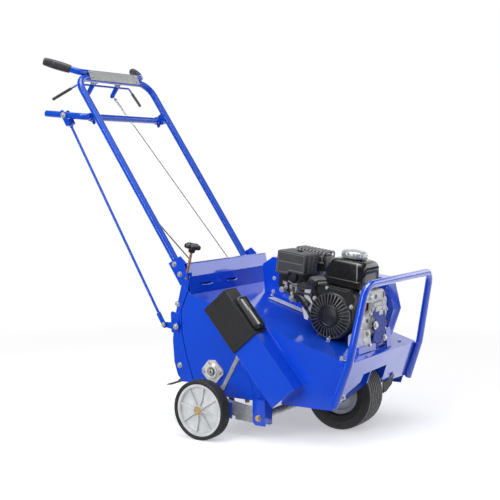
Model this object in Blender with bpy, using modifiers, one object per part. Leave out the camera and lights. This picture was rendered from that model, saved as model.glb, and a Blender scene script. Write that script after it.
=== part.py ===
"""Walk-behind aerator: a welded steel chassis with a coring reel, three wheels and a small engine.

The machine's front faces -Y and the operator stands at +Y. X runs across it, and -X is the
machine's right side. Sizes are in metres. While it is built, the ground is z = 0 and the middle
plane is x = 0. The root empty then carries the whole model to the centre of its footprint.
"""

import math

import bmesh
import bpy
from mathutils import Matrix, Vector

# General fits
GAP = 0.0003
RUN = 0.0006
MERGE = 0.00005

# Chassis sheets
SIDE_X = 0.260
SIDE_THICK = 0.004
SIDE_BOTTOM_Z = 0.122
SHEET = 0.003
DECK_FRONT_Y = -0.272
DECK_FRONT_Z = 0.281
DECK_SLOPE = 0.303
DECK_REAR_Y = 0.349
FRONT_EDGE_LEAN = -0.352
GROOVE = 0.004
HOOD_TOP_Z = 0.578

# Front bumper
BUMPER_TUBE = 0.0127
BUMPER_FOOT = (0.2871, -0.2319, 0.141)
BUMPER_KNEE = (0.2775, -0.281, 0.280)
BUMPER_TOP = (0.256, -0.332, 0.537)
BUMPER_BEND = 0.045

# Front wheel
FRONT_Y = -0.119
FRONT_R = 0.127
FRONT_HALF = 0.055
FRONT_RIM_R = 0.072
FRONT_AXLE_R = 0.0095
FORK_X = 0.060
FORK_THICK = 0.005

# Rear wheels and their swinging carriage
REAR_R = 0.1016
REAR_Y = 0.216
REAR_X = 0.389
REAR_HALF = 0.022
REAR_RIM_R = 0.088
REAR_AXLE_R = 0.0079
CARRIAGE_Y = 0.042
CARRIAGE_Z = 0.078
CARRIAGE_TUBE = 0.0125
CARRIAGE_PIN = 0.008
ARM_X = 0.287
ARM_THICK = 0.012
ARM_HALF = 0.025
ARM_NOSE = 0.0185
EAR_THICK = 0.004
EAR_INNER_X = 0.2725
EAR_OUTER_X = 0.305
EAR_FRONT_Y = 0.017
EAR_REAR_Y = 0.066
EAR_LOW_Z = 0.050
EAR_TOP_Z = 0.138

# Tine reel
REEL_Y = 0.254
REEL_Z = 0.207
REEL_R = 0.148
REEL_SHAFT_R = 0.0125
STAR_XS = (-0.210, -0.070, 0.070, 0.210)
STAR_THICK = 0.008
STAR_R = 0.082
TINE_COUNT = 6
TINE_R = 0.0095
TINE_BORE = 0.0065
BEARING_HALF = 0.044
BEARING_THICK = 0.008
BEARING_HUB_R = 0.024

# Drive
JACK_Y = 0.131
JACK_Z = 0.384
JACK_SHAFT_R = 0.0095
COUNTER_Y = -0.026
COUNTER_Z = 0.199
CHAIN_X = -0.300
REEL_CHAIN_X = -0.243
CHAIN_WIDE = 0.006
CHAIN_THICK = 0.007
SMALL_SPROCKET = 0.028
BIG_SPROCKET = 0.040
REEL_SPROCKET = 0.055
BELT_X = 0.126
BELT_WIDE = 0.010
BELT_THICK = 0.008
ENGINE_PULLEY = 0.034
JACK_PULLEY = 0.075
FLANGE = 0.003
# A loop's inside is drawn with short chords, so it is eased to clear the round wheel
LOOP_EASE = 1.012

# Engine: its own frame has the crankshaft at the origin and is tipped back a little
ENGINE_Y = -0.130
ENGINE_Z = 0.410
ENGINE_TILT = math.radians(8.0)
CRANK_R = 0.0095
CASE_X = (-0.045, 0.086)
CASE_Y = (-0.110, 0.080)
CASE_Z = (-0.066, 0.074)
FAN_R = 0.081
FAN_X = (-0.116, -0.0453)
RECOIL_R = 0.079
RECOIL_X = -0.140
TANK_LOW = (-0.100, -0.094, 0.100)
TANK_HIGH = (0.052, 0.060, 0.192)
MUFFLER_LOW = (-0.002, 0.110, 0.118)
MUFFLER_HIGH = (0.092, 0.244, 0.190)
CAP_R = 0.045
CAP_X = -0.022
CAP_Y = -0.014
SWITCH_WALL_Y = -0.086

# Handle
HANDLE_TUBE = 0.0135
HANDLE_X = 0.217
LEG_FOOT = (0.4085, 0.5255)
LEG_TOP = (0.908, 1.262)
HANDLE_BEND = 0.060
GRIP_TUBE = 0.0125
GRIP_BAR = (0.917, 1.284)
GRIP_BAR_X = 0.185
GRIP_AIM = (0.560, 0.775, 0.295)
GRIP_START = 0.036
GRIP_END = 0.142
GRIP_R = 0.0165

# Lift lever and its rod
LEVER_TUBE = 0.0127
LEVER_PIVOT = (0.8383, 1.109)
LEVER_END = (1.030, 1.128)
LEVER_X = 0.250
LEVER_PIN = (0.930, 1.1175)
ROD_R = 0.005
CRANK_PIVOT = (0.4065, 0.354)
CRANK_PIN = (0.4550, 0.358)
CRANK_X = -0.2745
ROD_FOOT_X = -0.2805
ROD_EYE_R = 0.0048
ROD_EYE_SHIFT = 0.0008

# Control bail
BAIL_ROD = 0.004
BAIL_PIVOT = (0.943, 1.256)
BAIL_ARM_END = (0.977, 1.209)
BAIL_ROD_AT = (0.9545, 1.2425)
BAIL_ARM_X = 0.074
BAIL_WIDE = 0.151
BAIL_TIP = (0.260, 0.985, 1.180)
CABLE_X = 0.0786

# Cables
CABLE_PASSING = (0.0575, 0.405, 0.572)
CABLE_ENTRY_Y = 0.3815
SHEATH_R = 0.0022
SHEATH_X = -0.194
CABLE_OUTSIDE = (0.405, 0.590)
CABLE_INSIDE = (0.371, 0.540)

# Depth screw
SCREW_X = -0.277
SCREW_KNOB = (0.327, 0.641)
SCREW_NUT = (0.3535, 0.541)
SCREW_R = 0.005
KNOB_R = 0.030

# Belt guard and the idler under it
GUARD_X = (0.098, 0.160)
GUARD_WALL = 0.002
IDLER_PIVOT = (0.085, 0.523)
IDLER_ROLLER = (0.022, 0.5035)

# Chain guard: its long axis runs down and forwards from the middle of its upper end
GUARD_TOP = (0.194, 0.4620)
GUARD_LONG = 0.398
GUARD_HALF = 0.054
GUARD_NEAR_X = -0.325
GUARD_SHEET = 0.002
GUARD_AIM = (-0.6475, -0.7621)
BOX_LONG = 0.176
BOX_NEAR_X = -0.334

PARTS = bpy.data.collections.new("walk_behind_aerator")
CUTTERS = bpy.data.collections.new("cutters")


# Scene and materials

def clear_scene():
    for thing in list(bpy.data.objects):
        bpy.data.objects.remove(thing, do_unlink=True)
    bpy.context.scene.collection.children.link(PARTS)
    bpy.context.scene.collection.children.link(CUTTERS)


def material(name, colour, roughness, metallic=0.0):
    made = bpy.data.materials.new(name)
    made.use_nodes = True
    shader = made.node_tree.nodes["Principled BSDF"]
    shader.inputs["Base Color"].default_value = (*colour, 1.0)
    shader.inputs["Roughness"].default_value = roughness
    shader.inputs["Metallic"].default_value = metallic
    return made


BLUE = material("blue_paint", (0.012, 0.085, 0.72), 0.28)
BLACK = material("black_plastic", (0.018, 0.018, 0.020), 0.38)
RUBBER = material("black_rubber", (0.020, 0.020, 0.021), 0.75)
CAST = material("cast_aluminium", (0.60, 0.61, 0.62), 0.42, 0.9)
STEEL = material("zinc_steel", (0.55, 0.56, 0.57), 0.35, 1.0)
DARK = material("dark_steel", (0.12, 0.12, 0.13), 0.5, 0.8)
RIM = material("grey_rim", (0.62, 0.63, 0.65), 0.45)
CHROME = material("bright_cap", (0.72, 0.73, 0.74), 0.22, 1.0)
PLATE_GREY = material("grey_plate", (0.50, 0.51, 0.50), 0.4, 0.6)
BRASS = material("yellow_zinc", (0.62, 0.42, 0.22), 0.4, 1.0)
RED = material("red_plastic", (0.75, 0.03, 0.02), 0.4)


# Places and parents

def empty(name, place, parent, tilt=0.0):
    """An empty at a place given in its parent's frame of building."""
    made = bpy.data.objects.new(name, None)
    PARTS.objects.link(made)
    made.location = place
    made.rotation_euler = (tilt, 0.0, 0.0)
    made.empty_display_size = 0.05
    if parent is not None:
        made.parent = parent
        if parent.get("joint"):
            made.matrix_parent_inverse = Matrix.Translation(-parent.location)
    return made


def joint(name, place, parent):
    """An empty on a joint's axis. What hangs on it is still placed in the frame of building."""
    made = empty(name, place, parent)
    made["joint"] = True
    return made


def hang(thing, parent):
    """Hangs a piece, and the hidden guides that shape it, on an empty."""
    thing.parent = parent
    if parent.get("joint"):
        thing.matrix_parent_inverse = Matrix.Translation(-parent.location)
    for step in thing.modifiers:
        if step.type == "BOOLEAN":
            hang(step.object, parent)
    return thing


# Shapes

def finish(name, mesh, paint, matrix=None):
    thing = bpy.data.objects.new(name, mesh)
    PARTS.objects.link(thing)
    if matrix is not None:
        thing.matrix_basis = matrix
    mesh.materials.clear()
    mesh.materials.append(paint)
    mesh.shade_smooth()
    mesh.set_sharp_from_angle(angle=math.radians(35))
    return thing


def box(name, low, high, paint, turn=None, bevel=0.0):
    """A block between two corners, turned about its middle when a rotation is given."""
    middle = (Vector(low) + Vector(high)) / 2
    size = Vector(high) - Vector(low)
    cage = bmesh.new()
    bmesh.ops.create_cube(cage, size=1.0, matrix=Matrix.Diagonal((*size, 1.0)))
    mesh = bpy.data.meshes.new(name)
    cage.to_mesh(mesh)
    cage.free()
    turn = turn if turn is not None else Matrix.Identity(4)
    thing = finish(name, mesh, paint, Matrix.Translation(middle) @ turn)
    if bevel:
        edge = thing.modifiers.new("edges", "BEVEL")
        edge.width = bevel
        edge.segments = 2
        edge.limit_method = "ANGLE"
    return thing


def facing(axis):
    """The rotation that takes local Z to the given direction."""
    return Vector(axis).to_track_quat("Z", "Y").to_matrix().to_4x4()


def drum(name, start, end, radius, paint, sides=20, end_radius=None):
    """A cylinder, or a cone, between two points."""
    start = Vector(start)
    end = Vector(end)
    cage = bmesh.new()
    bmesh.ops.create_cone(
        cage,
        cap_ends=True,
        segments=sides,
        radius1=radius,
        radius2=radius if end_radius is None else end_radius,
        depth=(end - start).length,
    )
    mesh = bpy.data.meshes.new(name)
    cage.to_mesh(mesh)
    cage.free()
    return finish(name, mesh, paint, Matrix.Translation((start + end) / 2) @ facing(end - start))


def turned(name, centre, axis, profile, paint, steps=32):
    """A turned piece. The profile's points are (radius, height along the axis)."""
    mesh = bpy.data.meshes.new(name)
    cage = bmesh.new()
    points = [cage.verts.new((radius, 0.0, height)) for radius, height in profile]
    on_axis = profile[0][0] == 0.0 and profile[-1][0] == 0.0
    for first, second in zip(points, points[1:]):
        cage.edges.new((first, second))
    if not on_axis:
        cage.edges.new((points[-1], points[0]))
    cage.to_mesh(mesh)
    cage.free()
    thing = finish(name, mesh, paint, Matrix.Translation(centre) @ facing(axis))
    spin = thing.modifiers.new("turning", "SCREW")
    spin.steps = steps
    spin.render_steps = steps
    spin.use_merge_vertices = True
    spin.merge_threshold = MERGE
    return thing


def solid_mesh(curve_thing, name, paint):
    """Makes a mesh object of a curve object, with its caps welded on, and removes the curve."""
    PARTS.objects.link(curve_thing)
    bpy.context.view_layer.update()
    graph = bpy.context.evaluated_depsgraph_get()
    mesh = bpy.data.meshes.new_from_object(curve_thing.evaluated_get(graph))
    matrix = curve_thing.matrix_world.copy()
    bpy.data.objects.remove(curve_thing, do_unlink=True)
    cage = bmesh.new()
    cage.from_mesh(mesh)
    bmesh.ops.remove_doubles(cage, verts=cage.verts, dist=MERGE)
    cage.to_mesh(mesh)
    cage.free()
    mesh.name = name
    return finish(name, mesh, paint, matrix)


PLANES = {
    "X": Matrix(((0, 0, 1, 0), (1, 0, 0, 0), (0, 1, 0, 0), (0, 0, 0, 1))),
    "Y": Matrix(((1, 0, 0, 0), (0, 0, -1, 0), (0, 1, 0, 0), (0, 0, 0, 1))),
    "Z": Matrix.Identity(4),
}


def flat(name, axis, outline, low, high, paint, holes=()):
    """A flat piece across one axis. Its outline is (y, z) for X, (x, z) for Y and (x, y) for Z."""
    curve = bpy.data.curves.new(name, "CURVE")
    curve.dimensions = "2D"
    curve.fill_mode = "BOTH"
    curve.extrude = (high - low) / 2
    for loop in (outline, *holes):
        spline = curve.splines.new("POLY")
        spline.points.add(len(loop) - 1)
        for point, place in zip(spline.points, loop):
            point.co = (place[0], place[1], 0.0, 1.0)
        spline.use_cyclic_u = True
    thing = bpy.data.objects.new(name, curve)
    middle = (low + high) / 2
    offset = {"X": (middle, 0, 0), "Y": (0, middle, 0), "Z": (0, 0, middle)}[axis]
    thing.matrix_basis = Matrix.Translation(offset) @ PLANES[axis]
    return solid_mesh(thing, name, paint)


def arc(centre, radius, start, end, count):
    """Points on an arc. The angles are in degrees."""
    points = []
    for index in range(count + 1):
        angle = math.radians(start + (end - start) * index / count)
        points.append((centre[0] + radius * math.cos(angle), centre[1] + radius * math.sin(angle)))
    return points


def ring(centre, radius, count=16):
    return arc(centre, radius, 0.0, 360.0 * (count - 1) / count, count - 1)


def strip(path, thick):
    """The closed outline of a bent sheet. The path is its one face, and it grows to the left."""
    path = [Vector(point) for point in path]
    other = []
    for index, point in enumerate(path):
        before = path[max(index - 1, 0)]
        after = path[min(index + 1, len(path) - 1)]
        first = (point - before).normalized() if index else (after - point).normalized()
        second = (after - point).normalized() if index < len(path) - 1 else first
        bisector = Vector((-(first.y + second.y), first.x + second.x)).normalized()
        spread = bisector.dot(Vector((-first.y, first.x)))
        other.append(point + bisector * (thick / spread))
    return [tuple(point) for point in path] + [tuple(point) for point in reversed(other)]


def rounded(points, bend, count=5):
    """A path whose corners are arcs of one radius."""
    points = [Vector(point) for point in points]
    path = [points[0]]
    for before, corner, after in zip(points, points[1:], points[2:]):
        inward = (before - corner).normalized()
        outward = (after - corner).normalized()
        half = inward.angle(outward) / 2
        if half > math.radians(88.5) or bend == 0.0:
            path.append(corner)
            continue
        reach = bend / math.tan(half)
        middle = corner + (inward + outward).normalized() * (bend / math.sin(half))
        first = corner + inward * reach - middle
        last = corner + outward * reach - middle
        turn = first.angle(last)
        for index in range(count + 1):
            share = index / count
            weight = math.sin((1 - share) * turn) / math.sin(turn)
            other = math.sin(share * turn) / math.sin(turn)
            path.append(middle + first * weight + last * other)
    path.append(points[-1])
    return path


def tube(name, points, radius, paint, bend=0.0, resolution=3, count=5):
    """A round tube or wire along a path with rounded corners."""
    curve = bpy.data.curves.new(name, "CURVE")
    curve.dimensions = "3D"
    curve.bevel_depth = radius
    curve.bevel_resolution = resolution
    curve.use_fill_caps = True
    path = rounded(points, bend, count)
    spline = curve.splines.new("POLY")
    spline.points.add(len(path) - 1)
    for point, place in zip(spline.points, path):
        point.co = (*place, 1.0)
    return solid_mesh(bpy.data.objects.new(name, curve), name, paint)


def shape_with(thing, tool, operation):
    """Joins a tool to a piece, or cuts it away. The tool stays as a hidden guide."""
    PARTS.objects.unlink(tool)
    CUTTERS.objects.link(tool)
    tool.hide_render = True
    tool.display_type = "WIRE"
    step = thing.modifiers.new(tool.name, "BOOLEAN")
    step.operation = operation
    step.solver = "EXACT"
    step.object = tool
    return thing


def join(thing, *tools):
    for tool in tools:
        shape_with(thing, tool, "UNION")
    return thing


def cut(thing, *tools):
    for tool in tools:
        shape_with(thing, tool, "DIFFERENCE")
    return thing


def sides():
    """The machine's right side, at -X, and its left side."""
    return (("right", -1), ("left", 1))


def span(sign, inner, outer):
    """The lower and the upper X of a stretch that lies on one side."""
    return min(sign * inner, sign * outer), max(sign * inner, sign * outer)


# Chassis

def deck_z(y):
    """The height of the deck's upper face."""
    return DECK_FRONT_Z + DECK_SLOPE * (y - DECK_FRONT_Y)


def front_edge_y(z):
    """The front plate's front face, which leans like the bumper's lower legs."""
    return BUMPER_KNEE[1] + FRONT_EDGE_LEAN * (z - BUMPER_KNEE[2]) + BUMPER_TUBE / 2


def groove_line():
    """The rear edge of the side plates, from the top down."""
    return [
        (0.3520, 0.530),
        (0.3600, 0.484),
        (0.3930, 0.412),
        (0.3900, 0.330),
        (0.3720, 0.250),
        (0.3400, 0.158),
    ]


def hood_line():
    """The outer face of the rear sheet, from the top down."""
    return [
        (0.3760, HOOD_TOP_Z),
        (0.3880, 0.505),
        (0.4030, 0.448),
        (0.4200, 0.383),
        (0.4300, 0.303),
        (0.4250, 0.225),
        (0.4100, 0.178),
        (0.3900, 0.156),
    ]


def side_plate(label, sign):
    """A side plate with its bracket for the wheel carriage welded under it."""
    top_front_y = front_edge_y(DECK_FRONT_Z) + SHEET + GAP
    outline = [
        (top_front_y + 0.004, deck_z(top_front_y)),
        (DECK_REAR_Y, deck_z(DECK_REAR_Y)),
        *[(y - GROOVE, z) for y, z in groove_line()[1:]],
        (0.300, SIDE_BOTTOM_Z),
        (front_edge_y(SIDE_BOTTOM_Z) + SHEET + GAP, SIDE_BOTTOM_Z),
    ]
    low, high = span(sign, SIDE_X, SIDE_X + SIDE_THICK)
    plate = flat(f"side_plate_{label}", "X", outline, low, high, BLUE, side_holes(sign))
    pivot = (CARRIAGE_Y, CARRIAGE_Z)
    for inner, reach, bore in (
        (SIDE_X + 0.001, EAR_INNER_X + EAR_THICK / 2, CARRIAGE_TUBE),
        (EAR_OUTER_X - EAR_THICK / 2, EAR_OUTER_X + EAR_THICK / 2, CARRIAGE_PIN),
    ):
        low, high = span(sign, inner, reach)
        ear_outline = [
            (EAR_FRONT_Y, EAR_TOP_Z),
            (EAR_REAR_Y, EAR_TOP_Z),
            (EAR_REAR_Y, EAR_LOW_Z + 0.010),
            (EAR_REAR_Y - 0.010, EAR_LOW_Z),
            (EAR_FRONT_Y, EAR_LOW_Z),
        ]
        hole = ring(pivot, bore + RUN, 16)
        join(plate, flat(f"ear_{label}_{bore}", "X", ear_outline, low, high, BLUE, (hole,)))
    low, high = span(sign, EAR_INNER_X, EAR_OUTER_X)
    web_low = (low, EAR_FRONT_Y + 0.001, EAR_LOW_Z + 0.006)
    web_high = (high, EAR_FRONT_Y + 0.001 + EAR_THICK, EAR_TOP_Z - 0.002)
    return join(plate, box(f"ear_web_{label}", web_low, web_high, BLUE))


def side_holes(sign):
    """Holes for the shafts that pass a side plate."""
    holes = [ring((REEL_Y, REEL_Z), REEL_SHAFT_R + 0.004)]
    if sign < 0:
        holes.append(ring((JACK_Y, JACK_Z), JACK_SHAFT_R + RUN))
        holes.append(ring((COUNTER_Y, COUNTER_Z), JACK_SHAFT_R + RUN))
    return holes


def deck_panel():
    """The sloping deck with the belt's slot and the wedge that the engine stands on."""
    front_y = front_edge_y(DECK_FRONT_Z) + SHEET + GAP
    path = [(DECK_REAR_Y, deck_z(DECK_REAR_Y)), (front_y, deck_z(front_y))]
    half = SIDE_X - GAP
    deck = flat("deck_panel", "X", strip(path, SHEET), -half, half, BLUE)
    slot_low = (BELT_X - 0.014, -0.095, 0.250)
    slot_high = (BELT_X + 0.014, JACK_Y + JACK_PULLEY + 0.012, 0.520)
    cut(deck, box("belt_slot", slot_low, slot_high, BLUE))
    tilt = Matrix.Rotation(ENGINE_TILT, 2)
    seat = Vector((ENGINE_Y, ENGINE_Z))
    front = seat + tilt @ Vector((CASE_Y[0] + 0.004, CASE_Z[0] - GAP))
    rear = seat + tilt @ Vector((CASE_Y[1] - 0.004, CASE_Z[0] - GAP))
    wedge = [
        tuple(front),
        tuple(rear),
        (rear.x, deck_z(rear.x) - 0.001),
        (front.x - 0.006, deck_z(front.x - 0.006) - 0.001),
    ]
    return join(deck, flat("engine_wedge", "X", wedge, CASE_X[0] + 0.004, CASE_X[1] - 0.004, BLUE))


def front_plate():
    """The leaning front plate, cut out for the wheel, with the two fork cheeks welded behind it."""
    top_z = DECK_FRONT_Z - 0.001
    low_z = 0.143
    outline = [
        (-0.250, top_z),
        (0.250, top_z),
        (0.252, low_z + 0.020),
        (0.238, low_z + 0.009),
        (0.060, low_z + 0.016),
        (0.056, 0.226),
        (-0.118, 0.222),
        (-0.125, 0.196),
        (-0.204, 0.171),
        (-0.226, low_z),
        (-0.252, low_z),
    ]
    lean = math.atan(FRONT_EDGE_LEAN)
    face_z = (top_z + low_z) / 2
    outline = [(x, (z - face_z) / math.cos(lean)) for x, z in outline]
    plate = flat("front_plate", "Y", outline, 0.0, SHEET, BLUE)
    place = Matrix.Translation((0.0, front_edge_y(face_z), face_z))
    plate.matrix_basis = place @ Matrix.Rotation(-lean, 4, "X") @ plate.matrix_basis
    under = lambda y: deck_z(y) - SHEET - GAP
    for label, sign in sides():
        low, high = span(sign, FORK_X, FORK_X + FORK_THICK)
        cheek = [
            (front_edge_y(0.255) + 0.001, 0.255),
            (front_edge_y(0.180) + 0.001, 0.180),
            (FRONT_Y - 0.030, FRONT_R - 0.022),
            (FRONT_Y, FRONT_R - 0.030),
            (FRONT_Y + 0.026, FRONT_R - 0.016),
            (FRONT_Y + 0.034, FRONT_R + 0.010),
            (-0.050, under(-0.050) - 0.004),
            (-0.225, under(-0.225) - 0.004),
        ]
        hole = ring((FRONT_Y, FRONT_R), FRONT_AXLE_R + RUN)
        join(plate, flat(f"fork_cheek_{label}", "X", cheek, low, high, BLUE, (hole,)))
    tie_low = (-FORK_X - 0.001, -0.220, under(-0.220) - 0.012)
    tie_high = (FORK_X + 0.001, -0.200, under(-0.220) - 0.006)
    return join(plate, box("fork_tie", tie_low, tie_high, BLUE))


def hood_panel():
    """The front sheet of the hood: a lip that leans back over a steep panel."""
    foot_z = deck_z(DECK_REAR_Y) + GAP
    path = [(DECK_REAR_Y + GAP, foot_z), (0.3545, 0.532), (0.3655, HOOD_TOP_Z)]
    half = SIDE_X - GAP
    panel = flat("hood_panel", "X", strip(list(reversed(path)), SHEET), -half, half, BLUE)
    slots = []
    for label, x in (("near", -0.165), ("middle", -0.005)):
        low = (x - 0.032, 0.330, 0.497)
        high = (x + 0.032, 0.380, 0.504)
        slots.append(box(f"hood_slot_{label}", low, high, BLUE))
    return cut(panel, *slots)


def rear_hood():
    """The curved sheet behind the reel, with a cheek at each end that laps the side plate."""
    half = SIDE_X + SIDE_THICK - 0.001
    sheet = flat("rear_hood", "X", strip(hood_line()[:-1], -SHEET), -half, half, BLUE)
    for label, sign in sides():
        cheek = [*[(y - 0.001, z) for y, z in hood_line()], *reversed(groove_line())]
        low, high = span(sign, SIDE_X, SIDE_X + SIDE_THICK)
        join(sheet, flat(f"cheek_{label}", "X", cheek, low, high, BLUE, crank_holes(sign)))
        edge = groove_line()[2:]
        lap = [*[(y + 0.003, z) for y, z in edge], *[(y - 0.016, z) for y, z in reversed(edge)]]
        low, high = span(sign, SIDE_X - GAP - 0.003, SIDE_X - GAP)
        foot = flat(f"lap_{label}", "X", lap, low, high, BLUE)
        web = [*[(y + 0.001, z) for y, z in edge], *[(y + 0.005, z) for y, z in reversed(edge)]]
        low, high = span(sign, SIDE_X - 0.002, SIDE_X + 0.002)
        join(sheet, foot, flat(f"lap_web_{label}", "X", web, low, high, BLUE))
    wire = cable_aim()
    entry = cable_entry()
    bore = drum("cable_bore", entry - wire * 0.020, entry + wire * 0.020, 0.006, BLUE, 12)
    cut(sheet, bore)
    nut_low = (SCREW_X - 0.011, SCREW_NUT[0] - 0.011, SCREW_NUT[1] - 0.007)
    nut_high = (-SIDE_X - 0.002, SCREW_NUT[0] + 0.011, SCREW_NUT[1] + 0.007)
    join(sheet, box("screw_nut", nut_low, nut_high, BLUE))
    start, end = screw_line(-0.060, 0.060)
    cut(sheet, drum("screw_bore", start, end, SCREW_R + RUN, BLUE, 12))
    outside = (SHEATH_X, *CABLE_OUTSIDE)
    inside = (SHEATH_X, *CABLE_INSIDE)
    return cut(sheet, drum("sheath_bore", outside, inside, SHEATH_R + RUN, BLUE, 12))


def crank_holes(sign):
    return [ring(CRANK_PIVOT, 0.008 + RUN)] if sign < 0 else []


def front_bumper():
    """One bent tube in front of the engine, whose feet stand beside the side plates."""
    right = [(-x, y, z) for x, y, z in (BUMPER_FOOT, BUMPER_KNEE, BUMPER_TOP)]
    left = [BUMPER_TOP, BUMPER_KNEE, BUMPER_FOOT]
    bumper = tube("front_bumper", right + left, BUMPER_TUBE, BLUE, BUMPER_BEND)
    leg = (BUMPER_KNEE[1] - BUMPER_FOOT[1]) / (BUMPER_KNEE[2] - BUMPER_FOOT[2])
    for label, sign in sides():
        low, high = span(sign, SIDE_X + SIDE_THICK + GAP, BUMPER_KNEE[0] + 0.004)
        for place, z in (("low", 0.162), ("high", 0.258)):
            y = BUMPER_FOOT[1] + leg * (z - BUMPER_FOOT[2])
            near = (low, y - 0.002, z - 0.013)
            far = (high, y + 0.034, z + 0.013)
            join(bumper, box(f"tab_{place}_{label}", near, far, BLUE))
    return bumper


def side_strap():
    """A flat zinc strap bolted on the right side plate, seen between the wheel and the guard."""
    x = -SIDE_X - SIDE_THICK - GAP
    middle = Vector((0.181, 0.2095))
    aim = Vector((0.062, -0.109)).normalized()
    across = Vector((aim.y, -aim.x)) * 0.007
    ends = [middle - aim * 0.064, middle + aim * 0.064]
    outline = [ends[0] + across, ends[1] + across, ends[1] - across, ends[0] - across]
    return flat("side_strap", "X", [tuple(point) for point in outline], x - 0.004, x, STEEL)


# Wheels

def tyre_profile(outer, bead, half):
    """A tyre's section with a flat seat inside and a rounded tread."""
    return [
        (bead, half * 0.78),
        (bead + (outer - bead) * 0.35, half),
        (bead + (outer - bead) * 0.75, half * 0.98),
        (outer - (outer - bead) * 0.06, half * 0.88),
        (outer, half * 0.76),
        (outer, -half * 0.76),
        (outer - (outer - bead) * 0.06, -half * 0.88),
        (bead + (outer - bead) * 0.75, -half * 0.98),
        (bead + (outer - bead) * 0.35, -half),
        (bead, -half * 0.78),
    ]


def front_wheel(root):
    spin = joint("front_wheel_joint", (0.0, FRONT_Y, FRONT_R), root)
    centre = (0.0, FRONT_Y, FRONT_R)
    tyre_shape = tyre_profile(FRONT_R, FRONT_RIM_R, FRONT_HALF)
    hang(turned("front_tyre", centre, (1, 0, 0), tyre_shape, RUBBER, 40), spin)
    rim = FRONT_RIM_R - GAP
    profile = [
        (FRONT_AXLE_R + RUN, 0.052),
        (0.020, 0.052),
        (0.024, 0.030),
        (0.050, 0.022),
        (0.060, 0.036),
        (rim - 0.006, 0.040),
        (rim, 0.036),
        (rim, -0.036),
        (rim - 0.006, -0.040),
        (0.060, -0.036),
        (0.050, -0.022),
        (0.024, -0.030),
        (0.020, -0.052),
        (FRONT_AXLE_R + RUN, -0.052),
    ]
    hang(turned("front_rim", centre, (1, 0, 0), profile, CAST, 32), spin)
    reach = FORK_X + FORK_THICK
    end = reach + 0.010
    axle = drum("front_axle", (-end, *centre[1:]), (end, *centre[1:]), FRONT_AXLE_R, STEEL)
    for label, sign in sides():
        low, high = span(sign, reach + GAP, reach + 0.009)
        head = drum(f"axle_nut_{label}", (low, *centre[1:]), (high, *centre[1:]), 0.015, STEEL, 6)
        join(axle, head)
    hang(axle, root)


def rear_wheel(label, sign, carriage):
    centre = (sign * REAR_X, REAR_Y, REAR_R)
    spin = joint(f"rear_wheel_{label}_joint", centre, carriage)
    tyre_shape = tyre_profile(REAR_R, REAR_RIM_R, REAR_HALF)
    hang(turned(f"rear_tyre_{label}", centre, (1, 0, 0), tyre_shape, RUBBER, 40), spin)
    rim = REAR_RIM_R - GAP
    profile = [
        (REAR_AXLE_R + RUN, 0.024),
        (0.016, 0.024),
        (0.018, 0.012),
        (0.030, 0.005),
        (rim - 0.012, 0.005),
        (rim - 0.007, 0.017),
        (rim, 0.015),
        (rim, -0.015),
        (rim - 0.007, -0.017),
        (rim - 0.012, -0.005),
        (0.030, -0.005),
        (0.018, -0.012),
        (0.016, -0.024),
        (REAR_AXLE_R + RUN, -0.024),
    ]
    rim_piece = turned(f"rear_rim_{label}", centre, (1, 0, 0), profile, RIM, 40)
    hub = 0.014
    tip = rim - 0.009
    for index in range(4):
        turn = Matrix.Rotation(math.radians(45 * index + 12), 4, "X")
        rib = box(f"rib_{label}_{index}", (-0.013, -tip, -0.003), (0.013, tip, 0.003), RIM)
        rib.matrix_basis = Matrix.Translation(centre) @ turn
        eye = drum(f"rib_eye_{label}_{index}", (-0.030, 0, 0), (0.030, 0, 0), hub, RIM, 16)
        cut(rib, eye)
        eye.matrix_basis = Matrix.Translation(centre) @ eye.matrix_basis
        join(rim_piece, rib)
    hang(rim_piece, spin)


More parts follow.
